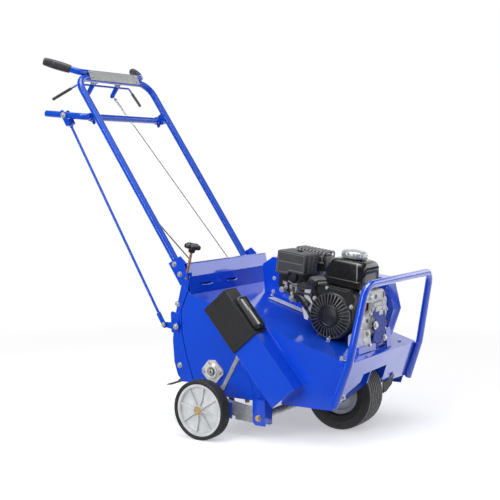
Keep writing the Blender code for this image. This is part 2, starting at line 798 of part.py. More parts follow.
def wheel_carriage(root):
    """The tube under the chassis whose two arms carry the rear wheels and swing them up."""
    pivot = (CARRIAGE_Y, CARRIAGE_Z)
    swing = joint("carriage_joint", (0.0, *pivot), root)
    reach = ARM_X - ARM_THICK / 2 + 0.002
    piece = drum("wheel_carriage", (-reach, *pivot), (reach, *pivot), CARRIAGE_TUBE, STEEL, 20)
    aim = Vector((REAR_Y - CARRIAGE_Y, REAR_R - CARRIAGE_Z))
    lean = math.degrees(math.atan2(aim.y, aim.x))
    for label, sign in sides():
        low, high = span(sign, ARM_X - ARM_THICK / 2, ARM_X + ARM_THICK / 2)
        outline = [
            *arc((REAR_Y, REAR_R), ARM_HALF, lean - 90, lean + 90, 8),
            (CARRIAGE_Y + 0.030, CARRIAGE_Z + 0.026),
            *arc(pivot, ARM_NOSE, lean + 90, lean + 270, 8),
            (CARRIAGE_Y + 0.032, CARRIAGE_Z - 0.020),
        ]
        join(piece, flat(f"arm_{label}", "X", outline, low, high, STEEL))
        pin_end = sign * (EAR_OUTER_X + EAR_THICK / 2 + 0.005)
        arm_middle = (sign * ARM_X, *pivot)
        join(piece, drum(f"pin_{label}", arm_middle, (pin_end, *pivot), CARRIAGE_PIN, STEEL, 16))
        head_end = sign * (EAR_OUTER_X + EAR_THICK / 2 + 0.009)
        head_start = sign * (EAR_OUTER_X + EAR_THICK / 2 + RUN)
        join(piece, drum(f"head_{label}", (head_start, *pivot), (head_end, *pivot), 0.0115, STEEL, 6))
        hub = (REAR_Y, REAR_R)
        axle_start = (sign * ARM_X, *hub)
        axle_end = (sign * (REAR_X + 0.030), *hub)
        join(piece, drum(f"axle_{label}", axle_start, axle_end, REAR_AXLE_R, STEEL, 16))
        collar = (sign * (REAR_X - 0.025), *hub)
        join(piece, drum(f"collar_{label}", axle_start, collar, 0.013, STEEL, 16))
        cap_start = (sign * (REAR_X + 0.0246), *hub)
        cap_end = (sign * (REAR_X + 0.032), *hub)
        join(piece, drum(f"axle_cap_{label}", cap_start, cap_end, 0.0125, STEEL, 6))
    hang(piece, swing)
    for label, sign in sides():
        rear_wheel(label, sign, swing)
    return swing


# Tine reel and drive

def loop_round(first, first_r, second, second_r, count=12):
    """The outline of a belt's or chain's face round two wheels."""
    first = Vector(first)
    second = Vector(second)
    along = second - first
    heading = math.degrees(math.atan2(along.y, along.x))
    lean = math.degrees(math.asin((second_r - first_r) / along.length))
    up = heading + 90 + lean
    down = heading - 90 - lean
    points = arc(second, second_r, down, up, count)
    points += arc(first, first_r, up, down + 360, count)
    return points


def loop(name, x, wide, thick, first, first_r, second, second_r, paint):
    outer = loop_round(first, first_r + thick, second, second_r + thick)
    inner = loop_round(first, first_r * LOOP_EASE, second, second_r * LOOP_EASE)
    return flat(name, "X", outer, x - wide / 2, x + wide / 2, paint, (inner,))


def wheel_profile(x, wide, radius, shaft_r):
    """Half of a flanged wheel's section on its shaft, as heights along X."""
    half = wide / 2 + GAP
    return [
        (shaft_r, x - half - FLANGE),
        (radius + 0.004, x - half - FLANGE),
        (radius + 0.004, x - half),
        (radius - GAP, x - half),
        (radius - GAP, x + half),
        (radius + 0.004, x + half),
        (radius + 0.004, x + half + FLANGE),
        (shaft_r, x + half + FLANGE),
    ]


def shaft(name, y, z, ends, wheels, radius, paint):
    """A shaft turned in one piece with its wheels, which are (x, width, radius), in order of X."""
    points = [(0.0, ends[0]), (radius, ends[0])]
    for x, wide, wheel_r in wheels:
        points += wheel_profile(x, wide, wheel_r, radius)
    points += [(radius, ends[1]), (0.0, ends[1])]
    profile = [(r, height) for r, height in reversed(points)]
    return turned(name, (0.0, y, z), (1, 0, 0), profile, paint, 24)


def tine_star(index, x, spin):
    """A disc with six hollow coring tines welded round it."""
    disc = drum(
        f"tine_star_{index}",
        (x - STAR_THICK / 2, REEL_Y, REEL_Z),
        (x + STAR_THICK / 2, REEL_Y, REEL_Z),
        STAR_R,
        DARK,
        24,
    )
    offset = 60.0 / len(STAR_XS) * index
    for tine in range(TINE_COUNT):
        angle = math.radians(offset + 360.0 / TINE_COUNT * tine + 10.0)
        out = Vector((0.0, math.cos(angle), math.sin(angle)))
        centre = Vector((x, REEL_Y, REEL_Z))
        start = centre + out * (STAR_R - 0.020)
        join(disc, drum(f"tine_{index}_{tine}", start, centre + out * REEL_R, TINE_R, DARK, 10))
        inside = centre + out * (REEL_R - 0.020)
        outside = centre + out * (REEL_R + 0.010)
        cut(disc, drum(f"tine_bore_{index}_{tine}", inside, outside, TINE_BORE, DARK, 8))
    bore = drum(
        f"star_bore_{index}",
        (x - 0.02, REEL_Y, REEL_Z),
        (x + 0.02, REEL_Y, REEL_Z),
        REEL_SHAFT_R + GAP,
        DARK,
        20,
    )
    cut(disc, bore)
    hang(disc, spin)


def reel_bearing(label, sign, root):
    """A flanged bearing on the outside of a side plate."""
    x = SIDE_X + SIDE_THICK + GAP
    low, high = span(sign, x, x + BEARING_THICK)
    half = BEARING_HALF
    nip = 0.007
    corners = [
        (-half, 0.0 - nip),
        (-nip, -half),
        (nip, -half),
        (half, -nip),
        (half, nip),
        (nip, half),
        (-nip, half),
        (-half, nip),
    ]
    outline = [(REEL_Y + y, REEL_Z + z) for y, z in corners]
    piece = flat(f"reel_bearing_{label}", "X", outline, low, high, CAST)
    low, high = span(sign, x + BEARING_THICK / 2, x + BEARING_THICK + 0.008)
    start = (low, REEL_Y, REEL_Z)
    end = (high, REEL_Y, REEL_Z)
    join(piece, drum(f"bearing_hub_{label}", start, end, BEARING_HUB_R, CAST, 24))
    low, high = span(sign, x - 0.010, x + BEARING_THICK + 0.020)
    start = (low, REEL_Y, REEL_Z)
    end = (high, REEL_Y, REEL_Z)
    cut(piece, drum(f"bearing_bore_{label}", start, end, REEL_SHAFT_R + RUN, CAST, 20))
    hang(piece, root)


def tine_reel(root):
    spin = joint("tine_reel_joint", (0.0, REEL_Y, REEL_Z), root)
    reach = SIDE_X + SIDE_THICK + BEARING_THICK + 0.010
    wheels = [(REEL_CHAIN_X, CHAIN_WIDE, REEL_SPROCKET)]
    hang(shaft("tine_shaft", REEL_Y, REEL_Z, (-reach, reach), wheels, REEL_SHAFT_R, DARK), spin)
    for index, x in enumerate(STAR_XS, 1):
        tine_star(index, x, spin)
    for label, sign in sides():
        reel_bearing(label, sign, root)


def drive_line(root):
    """Belt from the engine to the jackshaft, chain to the countershaft, chain to the reel."""
    jack = joint("jackshaft_joint", (0.0, JACK_Y, JACK_Z), root)
    wheels = [(CHAIN_X, CHAIN_WIDE, SMALL_SPROCKET), (BELT_X, BELT_WIDE, JACK_PULLEY)]
    ends = (CHAIN_X - 0.012, BELT_X + 0.024)
    hang(shaft("jackshaft", JACK_Y, JACK_Z, ends, wheels, JACK_SHAFT_R, DARK), jack)
    counter = joint("countershaft_joint", (0.0, COUNTER_Y, COUNTER_Z), root)
    wheels = [(CHAIN_X, CHAIN_WIDE, BIG_SPROCKET), (REEL_CHAIN_X, CHAIN_WIDE, SMALL_SPROCKET)]
    ends = (CHAIN_X - 0.012, REEL_CHAIN_X + 0.016)
    hang(shaft("countershaft", COUNTER_Y, COUNTER_Z, ends, wheels, JACK_SHAFT_R, DARK), counter)
    crank = joint("crankshaft_joint", (0.0, ENGINE_Y, ENGINE_Z), root)
    ends = (CASE_X[1] + GAP, BELT_X + 0.018)
    wheels = [(BELT_X, BELT_WIDE, ENGINE_PULLEY)]
    hang(shaft("engine_pulley", ENGINE_Y, ENGINE_Z, ends, wheels, CRANK_R, DARK), crank)
    jack_at = (JACK_Y, JACK_Z)
    counter_at = (COUNTER_Y, COUNTER_Z)
    reel_at = (REEL_Y, REEL_Z)
    engine_at = (ENGINE_Y, ENGINE_Z)
    belt = (engine_at, ENGINE_PULLEY, jack_at, JACK_PULLEY, RUBBER)
    hang(loop("drive_belt", BELT_X, BELT_WIDE, BELT_THICK, *belt), root)
    chain = (counter_at, BIG_SPROCKET, jack_at, SMALL_SPROCKET, DARK)
    hang(loop("drive_chain", CHAIN_X, CHAIN_WIDE, CHAIN_THICK, *chain), root)
    chain = (counter_at, SMALL_SPROCKET, reel_at, REEL_SPROCKET, DARK)
    hang(loop("reel_chain", REEL_CHAIN_X, CHAIN_WIDE, CHAIN_THICK, *chain), root)


def idler(root):
    """The belt's idler roller on its arm, which the control bail pulls down on the belt."""
    pivot = IDLER_PIVOT
    roller = IDLER_ROLLER
    swing = joint("idler_joint", (0.0, *pivot), root)
    x = BELT_X + BELT_WIDE / 2
    piece = drum("idler_arm", (BELT_X - BELT_WIDE / 2, *roller), (x, *roller), 0.018, DARK, 20)
    bar = [
        (pivot[0] + 0.006, pivot[1] - 0.007),
        (pivot[0] + 0.006, pivot[1] + 0.007),
        (roller[0] - 0.006, roller[1] + 0.007),
        (roller[0] - 0.006, roller[1] - 0.007),
    ]
    join(piece, flat("idler_bar", "X", bar, x - 0.001, x + 0.005, DARK))
    end = GUARD_X[1] - GUARD_WALL - GAP
    join(piece, drum("idler_pin", (x, *pivot), (end, *pivot), 0.006, DARK, 12))
    hang(piece, swing)


# Guards

def belt_guard(root):
    """The folded cover over the belt, closed all round and open over the deck's slot."""
    foot = lambda y: deck_z(y) + GAP
    outer = [
        (-0.218, foot(-0.218)),
        (0.268, foot(0.268)),
        (0.275, 0.551),
        (0.232, 0.580),
        (-0.236, 0.522),
        (-0.262, 0.413),
        (-0.235, 0.335),
    ]
    inner = [
        (-0.216, foot(-0.216) - 0.010),
        (0.266, foot(0.266) - 0.010),
        (0.2725, 0.550),
        (0.2315, 0.5775),
        (-0.234, 0.5195),
        (-0.2595, 0.413),
        (-0.233, 0.336),
    ]
    guard = flat("belt_guard", "X", outer, *GUARD_X, BLUE)
    cut(guard, flat("guard_hollow", "X", inner, GUARD_X[0] + GUARD_WALL, GUARD_X[1] - GUARD_WALL, BLUE))
    window = ring((ENGINE_Y, ENGINE_Z), 0.020, 20)
    cut(guard, flat("guard_window", "X", window, GUARD_X[0] - 0.010, GUARD_X[0] + 0.010, BLUE))
    hang(guard, root)


def guard_point(along, across):
    """A point of the chain guard's face, from its length and its width."""
    aim = Vector(GUARD_AIM).normalized()
    side = Vector((aim.y, -aim.x))
    return tuple(Vector(GUARD_TOP) + aim * along + side * across)


def guard_box(name, along, across, low, high, paint):
    corners = (
        (along[0], across[0]),
        (along[1], across[0]),
        (along[1], across[1]),
        (along[0], across[1]),
    )
    return flat(name, "X", [guard_point(*corner) for corner in corners], low, high, paint)


def chain_guard(root):
    """The slanted box over the chain, open towards the side plate."""
    back = -SIDE_X - SIDE_THICK - GAP
    half = GUARD_HALF
    wall = GUARD_SHEET
    guard = guard_box("chain_guard", (0.0, GUARD_LONG), (-half, half), GUARD_NEAR_X, back, BLUE)
    inside = ((wall, GUARD_LONG - wall), (-half + wall, half - wall))
    cut(guard, guard_box("chain_space", *inside, GUARD_NEAR_X + wall, back + 0.010, BLUE))
    hang(guard, root)


def document_box(root):
    """The black plastic box over the guard's upper end, with a rounded lid on its front side."""
    back = -SIDE_X - SIDE_THICK - GAP
    half = GUARD_HALF
    outside = ((-0.008, BOX_LONG), (-half - 0.003, half + 0.003))
    outer = guard_box("document_box", *outside, BOX_NEAR_X, back, BLACK)
    inside = ((-GAP, BOX_LONG + 0.010), (-half - GAP, half + GAP))
    cut(outer, guard_box("box_space", *inside, GUARD_NEAR_X - GAP, back + 0.010, BLACK))
    hang(outer, root)
    hinge_at = guard_point(0.020, half + 0.0195)
    hinge = joint("document_lid_joint", ((back + BOX_NEAR_X) / 2, *hinge_at), root)
    spread = (half + 0.0033, half + 0.020)
    lid = guard_box("document_lid", (0.020, 0.152), spread, BOX_NEAR_X + 0.012, back - 0.003, BLACK)
    edge = lid.modifiers.new("edges", "BEVEL")
    edge.width = 0.004
    edge.segments = 2
    edge.limit_method = "ANGLE"
    hang(lid, hinge)


# Engine, in its own tipped frame

def engine(root):
    frame = empty("engine_frame", (0.0, ENGINE_Y, ENGINE_Z), root, ENGINE_TILT)
    engine_block(frame)
    fan_housing(frame)
    fuel_tank(frame)
    air_cleaner(frame)
    muffler(frame)
    carburettor(frame)
    engine_controls(frame)


def engine_block(frame):
    """The crankcase with its inclined finned cylinder and the valve cover."""
    low, high = zip(CASE_X, CASE_Y, CASE_Z)
    block = box("engine_block", low, high, CAST, bevel=0.008)
    incline = Matrix.Rotation(math.radians(20), 4, "X")
    barrel = box("cylinder", (-0.036, 0.060, -0.046), (0.070, 0.170, 0.046), CAST)
    barrel.matrix_basis = incline @ barrel.matrix_basis
    join(block, barrel)
    for index in range(4):
        start = 0.098 + 0.018 * index
        fin = box(f"fin_{index}", (-0.041, start, -0.050), (0.076, start + 0.007, 0.050), CAST)
        fin.matrix_basis = incline @ fin.matrix_basis
        join(block, fin)
    cover = box("valve_cover", (-0.026, 0.165, -0.040), (0.060, 0.192, 0.040), CAST, bevel=0.006)
    cover.matrix_basis = incline @ cover.matrix_basis
    join(block, cover)
    seat = box("tank_seat", (-0.020, -0.060, CASE_Z[1] - 0.004), (0.036, 0.020, TANK_LOW[2] - GAP), CAST)
    join(block, seat)
    port_top = (0.045, 0.140, MUFFLER_LOW[2] - GAP)
    join(block, drum("exhaust_port", (0.045, 0.140, 0.085), port_top, 0.014, CAST, 16))
    hang(block, frame)


def fan_housing(frame):
    """The black fan shroud and, on its face, the round recoil starter."""
    outline = [
        *arc((0.0, 0.0), FAN_R, -200, 20, 20),
        (0.092, 0.050),
        (0.084, 0.088),
        (0.040, TANK_LOW[2] - GAP),
        (-0.060, TANK_LOW[2] - GAP),
        (-0.084, 0.072),
    ]
    housing = flat("fan_housing", "X", outline, *FAN_X, BLACK)
    boss = box("switch_boss", (-0.076, SWITCH_WALL_Y, 0.031), (-0.048, -0.070, 0.059), BLACK)
    join(housing, boss)
    start = (FAN_X[0] + 0.001, 0.0, 0.0)
    middle = (FAN_X[0] - 0.014, 0.0, 0.0)
    join(housing, drum("recoil_side", start, middle, RECOIL_R, BLACK, 32))
    face = (RECOIL_X, 0.0, 0.0)
    inner = (FAN_X[0] - 0.013, 0.0, 0.0)
    join(housing, drum("recoil_face", inner, face, RECOIL_R - 0.002, BLACK, 32, RECOIL_R * 0.55))
    hang(housing, frame)


def fuel_tank(frame):
    tank = box("fuel_tank", TANK_LOW, TANK_HIGH, BLACK, bevel=0.016)
    neck_top = TANK_HIGH[2] + 0.006
    neck_low = (CAP_X, CAP_Y, TANK_HIGH[2] - 0.004)
    join(tank, drum("filler_neck", neck_low, (CAP_X, CAP_Y, neck_top), 0.026, BLACK, 20))
    hang(tank, frame)
    turn = joint("fuel_cap_joint", (CAP_X, CAP_Y, neck_top), frame)
    profile = [
        (0.0, 0.022),
        (CAP_R - 0.006, 0.020),
        (CAP_R, 0.014),
        (CAP_R, -0.003),
        (0.0265, -0.003),
        (0.0265, GAP),
        (0.0, GAP),
    ]
    hang(turned("fuel_cap", (CAP_X, CAP_Y, neck_top), (0, 0, 1), profile, CHROME, 28), turn)


def air_cleaner(frame):
    """The air cleaner's cover, whose lower edge is stepped over the carburettor."""
    outline = [
        (0.132, 0.110),
        (0.190, 0.110),
        (0.200, 0.100),
        (0.246, 0.100),
        (0.246, 0.180),
        (0.242, 0.184),
        (0.136, 0.184),
        (0.132, 0.180),
    ]
    hang(flat("air_cleaner", "X", outline, -0.100, -0.006, BLACK), frame)


def muffler(frame):
    """The muffler under its slotted guard."""
    hang(box("muffler", MUFFLER_LOW, MUFFLER_HIGH, BLACK, bevel=0.010), frame)


def carburettor(frame):
    """The carburettor body between the cylinder and the air cleaner's elbow."""
    body = box("carburettor", (-0.088, 0.150, 0.030), (-0.048, 0.186, 0.072), DARK)
    bowl = drum("float_bowl", (-0.068, 0.168, 0.008), (-0.068, 0.168, 0.034), 0.017, DARK, 20)
    throat = drum("throat", (-0.060, 0.168, 0.068), (-0.060, 0.168, 0.110 - GAP), 0.018, DARK, 20)
    flange = box("inlet_flange", (-0.052, 0.140, 0.034), (-0.0415, 0.176, 0.066), DARK)
    hang(join(body, bowl, throat, flange), frame)


def engine_controls(frame):
    """Switch, starter grip, throttle lever and choke lever."""
    wall = SWITCH_WALL_Y
    rock = joint("engine_switch_joint", (-0.062, wall - 0.004, 0.045), frame)
    switch = box("engine_switch", (-0.070, wall - 0.014, 0.036), (-0.054, wall - GAP, 0.054), RED)
    hang(switch, rock)
    pull = joint("starter_grip_joint", (-0.128, 0.070, 0.074), frame)
    grip = drum("starter_grip", (-0.136, 0.060, 0.098), (-0.112, 0.100, 0.098), 0.010, BLACK, 12)
    stem = drum("starter_rope", (-0.124, 0.080, 0.098), (-0.124, 0.0586, 0.0552), 0.003, BLACK, 8)
    hang(join(grip, stem), pull)
    lever = joint("throttle_joint", (-0.1193, 0.084, 0.055), frame)
    arm = box("throttle_lever", (-0.1223, 0.078, 0.050), (-0.1163, 0.145, 0.060), DARK)
    hang(arm, lever)
    choke = joint("choke_joint", (-0.0925, 0.168, 0.060), frame)
    blade = box("choke_lever", (-0.0963, 0.164, 0.036), (-0.0883, 0.172, 0.066), DARK)
    hang(blade, choke)


# Handle and its controls

def handle_bar_points():
    right = (-HANDLE_X, *LEG_FOOT)
    right_top = (-HANDLE_X, *LEG_TOP)
    left_top = (HANDLE_X, *LEG_TOP)
    left = (HANDLE_X, *LEG_FOOT)
    return [right, right_top, left_top, left]


def grip_line(sign, start, end):
    """Two points on a grip's axis, measured from the bar's bend."""
    aim = Vector(GRIP_AIM).normalized()
    aim.x *= sign
    bend = Vector((sign * GRIP_BAR_X, *GRIP_BAR))
    return bend + aim * start, bend + aim * end


def handle_frame(root):
    """The handle's bent tube with the grip bar, the lever's clips and the bail's clips welded on."""
    frame = tube("handle_frame", handle_bar_points(), HANDLE_TUBE, BLUE, HANDLE_BEND)
    ends = [grip_line(sign, 0.0, GRIP_END - 0.004)[1] for _, sign in sides()]
    bar = [ends[0], (-GRIP_BAR_X, *GRIP_BAR), (GRIP_BAR_X, *GRIP_BAR), ends[1]]
    join(frame, tube("grip_bar", bar, GRIP_TUBE, BLUE, 0.030))
    leg = (Vector(LEG_TOP) - Vector(LEG_FOOT)).normalized()
    pivot = Vector(LEVER_PIVOT)
    foot = Vector(LEG_FOOT) + leg * (pivot - Vector(LEG_FOOT)).dot(leg)
    across = (pivot - foot).normalized()
    for label, sign in sides():
        low, high = span(sign, HANDLE_X - HANDLE_TUBE - 0.006, HANDLE_X - HANDLE_TUBE + 0.003)
        outline = [
            tuple(foot - leg * 0.018),
            tuple(pivot - leg * 0.018 + across * 0.006),
            tuple(pivot - leg * 0.010 + across * 0.017),
            tuple(pivot + leg * 0.010 + across * 0.017),
            tuple(pivot + leg * 0.018 + across * 0.006),
            tuple(foot + leg * 0.018),
        ]
        hole = ring(LEVER_PIVOT, LEVER_TUBE + RUN, 20)
        join(frame, flat(f"lever_clip_{label}", "X", outline, low, high, BLUE, (hole,)))
        ear = [
            (LEG_TOP[0] - 0.004, LEG_TOP[1] + 0.002),
            (LEG_TOP[0] + 0.006, LEG_TOP[1] - 0.010),
            (BAIL_PIVOT[0] - 0.002, BAIL_PIVOT[1] - 0.008),
            (BAIL_PIVOT[0] + 0.008, BAIL_PIVOT[1] - 0.002),
            (BAIL_PIVOT[0] + 0.004, BAIL_PIVOT[1] + 0.008),
        ]
        low, high = span(sign, BAIL_ARM_X - 0.010, BAIL_ARM_X - 0.006)
        join(frame, flat(f"bail_clip_{label}", "X", ear, low, high, BLUE))
        start = (sign * (BAIL_ARM_X - 0.009), *BAIL_PIVOT)
        end = (sign * (BAIL_ARM_X + 0.006), *BAIL_PIVOT)
        join(frame, drum(f"bail_pin_{label}", start, end, 0.004, BLUE, 12))
    hang(frame, root)
    return frame


def grips(root):
    for label, sign in sides():
        start, end = grip_line(sign, GRIP_START, GRIP_END)
        length = GRIP_END - GRIP_START
        bore = GRIP_TUBE + GAP
        profile = [
            (0.0, length),
            (GRIP_R - 0.004, length),
            (GRIP_R, length - 0.004),
            (GRIP_R, length - 0.016),
            (GRIP_R - 0.0014, length * 0.5),
            (GRIP_R, 0.012),
            (GRIP_R - 0.001, 0.0),
            (bore, 0.0),
            (bore, length - 0.0036),
            (0.0, length - 0.0036),
        ]
        hang(turned(f"grip_{label}", start, end - start, profile, RUBBER, 20), root)


def handle_plate(root):
    """The grey plate across the front of the crossbar and the grip bar."""
    up = (Vector(GRIP_BAR) - Vector(LEG_TOP)).normalized()
    out = Vector((-up.y, up.x))
    low = Vector(LEG_TOP) + out * (HANDLE_TUBE + GAP) - up * 0.008
    high = Vector(LEG_TOP) + out * (HANDLE_TUBE + GAP) + up * 0.027
    outline = [tuple(low), tuple(high), tuple(high + out * 0.002), tuple(low + out * 0.002)]
    hang(flat("handle_plate", "X", outline, -0.150, 0.144, PLATE_GREY), root)


def handle_bracket(label, sign, root):
    """The plate beside a leg's foot, with a flange that lies on the rear sheet."""
    lean = (hood_line()[1][0] - hood_line()[0][0]) / (hood_line()[1][1] - hood_line()[0][1])
    sheet_y = lambda z: hood_line()[1][0] + lean * (z - hood_line()[1][1]) + GAP
    x = HANDLE_X + HANDLE_TUBE + GAP
    plate = [
        (sheet_y(0.505), 0.505),
        (0.4135, 0.495),
        (0.4653, 0.573),
        (0.4146, 0.600),
        (sheet_y(0.568), 0.568),
    ]
    low, high = span(sign, x, x + 0.005)
    piece = flat(f"handle_bracket_{label}", "X", plate, low, high, BLUE)
    flange = [
        (sheet_y(0.510), 0.510),
        (sheet_y(0.510) + 0.004, 0.510),
        (sheet_y(0.566) + 0.004, 0.566),
        (sheet_y(0.566), 0.566),
    ]
    low, high = span(sign, x + 0.001, SIDE_X)
    join(piece, flat(f"flange_{label}", "X", flange, low, high, BLUE))
    hang(piece, root)


def lift_gear(root):
    """The lift lever, its rod and the crank at the foot of the rod."""
    lift = joint("lift_lever_joint", (0.0, *LEVER_PIVOT), root)
    reach = HANDLE_X + 0.018
    end = (-LEVER_X, *LEVER_END)
    points = [(reach, *LEVER_PIVOT), (-LEVER_X, *LEVER_PIVOT), end]
    lever = tube("lift_lever", points, LEVER_TUBE, BLUE, 0.020)
    pin_ends = ((-LEVER_X - 0.021, *LEVER_PIN), (-LEVER_X + 0.0175, *LEVER_PIN))
    hang(join(lever, drum("lever_pin", *pin_ends, 0.004, BLUE, 12)), lift)
    swing = joint("lift_rod_joint", (-LEVER_X, *LEVER_PIN), lift)
    top = Vector((-LEVER_X, *LEVER_PIN))
    foot = Vector((ROD_FOOT_X, *CRANK_PIN))
    aim = (foot - top).normalized()
    rod = tube("lift_rod", [top + aim * 0.030, foot - aim * 0.040], ROD_R, BLUE, resolution=2)
    flat_aim = Vector((aim.y, aim.z)).normalized()
    flat_side = Vector((-flat_aim.y, flat_aim.x))

    def strap(name, start, end, wide, low, high, hole):
        first = Vector(start)
        last = Vector(end)
        aside = flat_side * wide
        outline = [first + aside, last + aside, last - aside, first - aside]
        holes = (hole,) if hole else ()
        return flat(name, "X", [tuple(point) for point in outline], low, high, BLUE, holes)

    pin_at = Vector(LEVER_PIN)
    hole = ring(LEVER_PIN, 0.004 + RUN, 12)
    clevis_end = pin_at + flat_aim * 0.030
    gap = LEVER_TUBE + 0.001
    for label, low in (("outer", -LEVER_X - gap - 0.003), ("inner", -LEVER_X + gap)):
        tip = pin_at - flat_aim * 0.008
        join(rod, strap(f"clevis_{label}", tip, clevis_end, 0.008, low, low + 0.003, hole))
    base_x = (-LEVER_X - gap - 0.0025, -LEVER_X + gap + 0.0025)
    base_ends = (pin_at + flat_aim * 0.022, clevis_end + flat_aim * 0.006)
    join(rod, strap("clevis_base", *base_ends, 0.0075, *base_x, None))
    crank_at = Vector(CRANK_PIN)
    eye = ring(crank_at + flat_side * ROD_EYE_SHIFT, ROD_EYE_R)
    foot_x = (ROD_FOOT_X - 0.002, ROD_FOOT_X + 0.002)
    strap_ends = (crank_at - flat_aim * 0.048, crank_at + flat_aim * 0.013)
    join(rod, strap("rod_strap", *strap_ends, 0.009, *foot_x, eye))
    hang(rod, swing)
    crank = joint("lift_crank_joint", (CRANK_X, *CRANK_PIVOT), root)
    along = (crank_at - Vector(CRANK_PIVOT)).normalized()
    heading = math.degrees(math.atan2(along.y, along.x))
    outline = [
        *arc(CRANK_PIVOT, 0.014, heading + 90, heading + 270, 8),
        *arc(CRANK_PIN, 0.009, heading - 90, heading + 90, 8),
    ]
    plate = flat("lift_crank", "X", outline, CRANK_X - 0.002, CRANK_X + 0.002, BLUE)
    join(plate, drum("crank_stub", (CRANK_X, *CRANK_PIVOT), (-0.232, *CRANK_PIVOT), 0.008, BLUE, 16))
    pin_end = (ROD_FOOT_X - 0.006, *CRANK_PIN)
    join(plate, drum("crank_pin", (CRANK_X, *CRANK_PIN), pin_end, 0.0035, BLUE, 12))
    hang(plate, crank)


def control_bail(root):
    """The black rod with two blue arms that the operator squeezes towards the grips."""
    swing = joint("control_bail_joint", (0.0, *BAIL_PIVOT), root)
    tip = BAIL_TIP
    points = [
        (-tip[0], *tip[1:]),
        (-BAIL_WIDE, *BAIL_ROD_AT),
        (BAIL_WIDE, *BAIL_ROD_AT),
        tip,
    ]
    bail = tube("control_bail", points, BAIL_ROD, BLACK, 0.015, 2)
    along = (Vector(BAIL_ARM_END) - Vector(BAIL_PIVOT)).normalized()
    heading = math.degrees(math.atan2(along.y, along.x))
    for label, sign in sides():
        low, high = span(sign, BAIL_ARM_X - 0.0025, BAIL_ARM_X + 0.0025)
        outline = [
            *arc(BAIL_PIVOT, 0.009, heading + 90, heading + 270, 8),
            *arc(BAIL_ARM_END, 0.007, heading - 90, heading + 90, 6),
        ]
        hole = ring(BAIL_PIVOT, 0.004 + RUN, 12)
        join(bail, flat(f"bail_arm_{label}", "X", outline, low, high, BLUE, (hole,)))
    hang(bail, swing)


def cable_aim():
    """The direction of the clutch cable, upwards."""
    return (Vector((CABLE_X, *BAIL_ARM_END)) - Vector(CABLE_PASSING)).normalized()


def cable_entry():
    """Where the clutch cable passes the rear sheet."""
    aim = cable_aim()
    passing = Vector(CABLE_PASSING)
    return passing - aim * ((passing.y - CABLE_ENTRY_Y) / aim.y)


def cables(root):
    aim = cable_aim()
    entry = cable_entry()
    slide = joint("clutch_cable_joint", entry, root)
    top = Vector((CABLE_X, *BAIL_ARM_END))
    wire = tube("clutch_cable", [entry - aim * 0.012, top], 0.0015, STEEL, resolution=2)
    join(wire, drum("cable_barrel", top - aim * 0.135, top - aim * 0.022, 0.0045, STEEL, 14))
    hang(wire, slide)
    route = [
        (-HANDLE_X + HANDLE_TUBE + SHEATH_R + GAP, 0.7947, 1.0950),
        (-0.1960, 0.784, 1.060),
        (-0.1905, 0.767, 1.000),
        (-0.1905, 0.735, 0.950),
        (-0.1905, 0.680, 0.876),
        (-0.1905, 0.618, 0.798),
        (-0.1905, 0.560, 0.730),
        (-0.1905, 0.505, 0.678),
        (-0.1920, 0.455, 0.634),
        (SHEATH_X, *CABLE_OUTSIDE),
        (SHEATH_X, *CABLE_INSIDE),
    ]
    hang(tube("control_cable", route, SHEATH_R, BLACK, resolution=2), root)


def screw_line(start, end):
    """Two points on the depth screw's axis, measured upwards from its nut."""
    nut = Vector((SCREW_X, *SCREW_NUT))
    aim = (Vector((SCREW_X, *SCREW_KNOB)) - nut).normalized()
    return nut + aim * start, nut + aim * end


def depth_screw(root):
    """The screw that sets the working depth, with its star knob."""
    length = (Vector(SCREW_KNOB) - Vector(SCREW_NUT)).length
    slide = joint("depth_screw_joint", (SCREW_X, *SCREW_NUT), root)
    start, end = screw_line(-0.016, length - 0.008)
    hang(drum("depth_screw", start, end, SCREW_R, BRASS, 16), slide)
    centre, top = screw_line(length, length + 0.010)
    star = []
    for index in range(25):
        angle = math.radians(360.0 / 25 * index)
        radius = KNOB_R - 0.006 * (1 - math.cos(5 * angle)) / 2
        star.append((radius * math.cos(angle), radius * math.sin(angle)))
    knob = flat("depth_knob", "Z", star, -0.008, 0.008, BLACK)
    knob.matrix_basis = Matrix.Translation(centre) @ facing(top - centre)
    neck_end, neck_start = screw_line(length - 0.022, length - 0.007)
    join(knob, drum("knob_neck", neck_end, neck_start, 0.011, BLACK, 16, 0.014))
    bore_end, bore_start = screw_line(length - 0.030, length - 0.0075)
    cut(knob, drum("knob_bore", bore_end, bore_start, SCREW_R + GAP, BLACK, 16))
    hang(knob, slide)


# Assembly

def place_on_ground(root):
    """Moves the root so that the model stands on z = 0 with its footprint's centre at the origin."""
    bpy.context.view_layer.update()
    graph = bpy.context.evaluated_depsgraph_get()
    corners = []
    for thing in PARTS.objects:
        if thing.type == "MESH":
            body = thing.evaluated_get(graph)
            corners += [body.matrix_world @ vertex.co for vertex in body.data.vertices]
    low = Vector([min(corner[axis] for corner in corners) for axis in range(3)])
    high = Vector([max(corner[axis] for corner in corners) for axis in range(3)])
    root.location = (-(low.x + high.x) / 2, -(low.y + high.y) / 2, -low.z)
    bpy.context.view_layer.update()


def main():
    clear_scene()
    root = empty("root", (0.0, 0.0, 0.0), None)
    for label, sign in sides():
        hang(side_plate(label, sign), root)
    for piece in (deck_panel(), front_plate(), hood_panel(), rear_hood(), front_bumper(), side_strap()):
        hang(piece, root)
    front_wheel(root)
    wheel_carriage(root)
    tine_reel(root)
    drive_line(root)
    idler(root)
    belt_guard(root)
    chain_guard(root)
    document_box(root)
    engine(root)
    handle_frame(root)
    grips(root)
    handle_plate(root)
    for label, sign in sides():
        handle_bracket(label, sign, root)
    lift_gear(root)
    control_bail(root)
    cables(root)
    depth_screw(root)
    place_on_ground(root)


main()
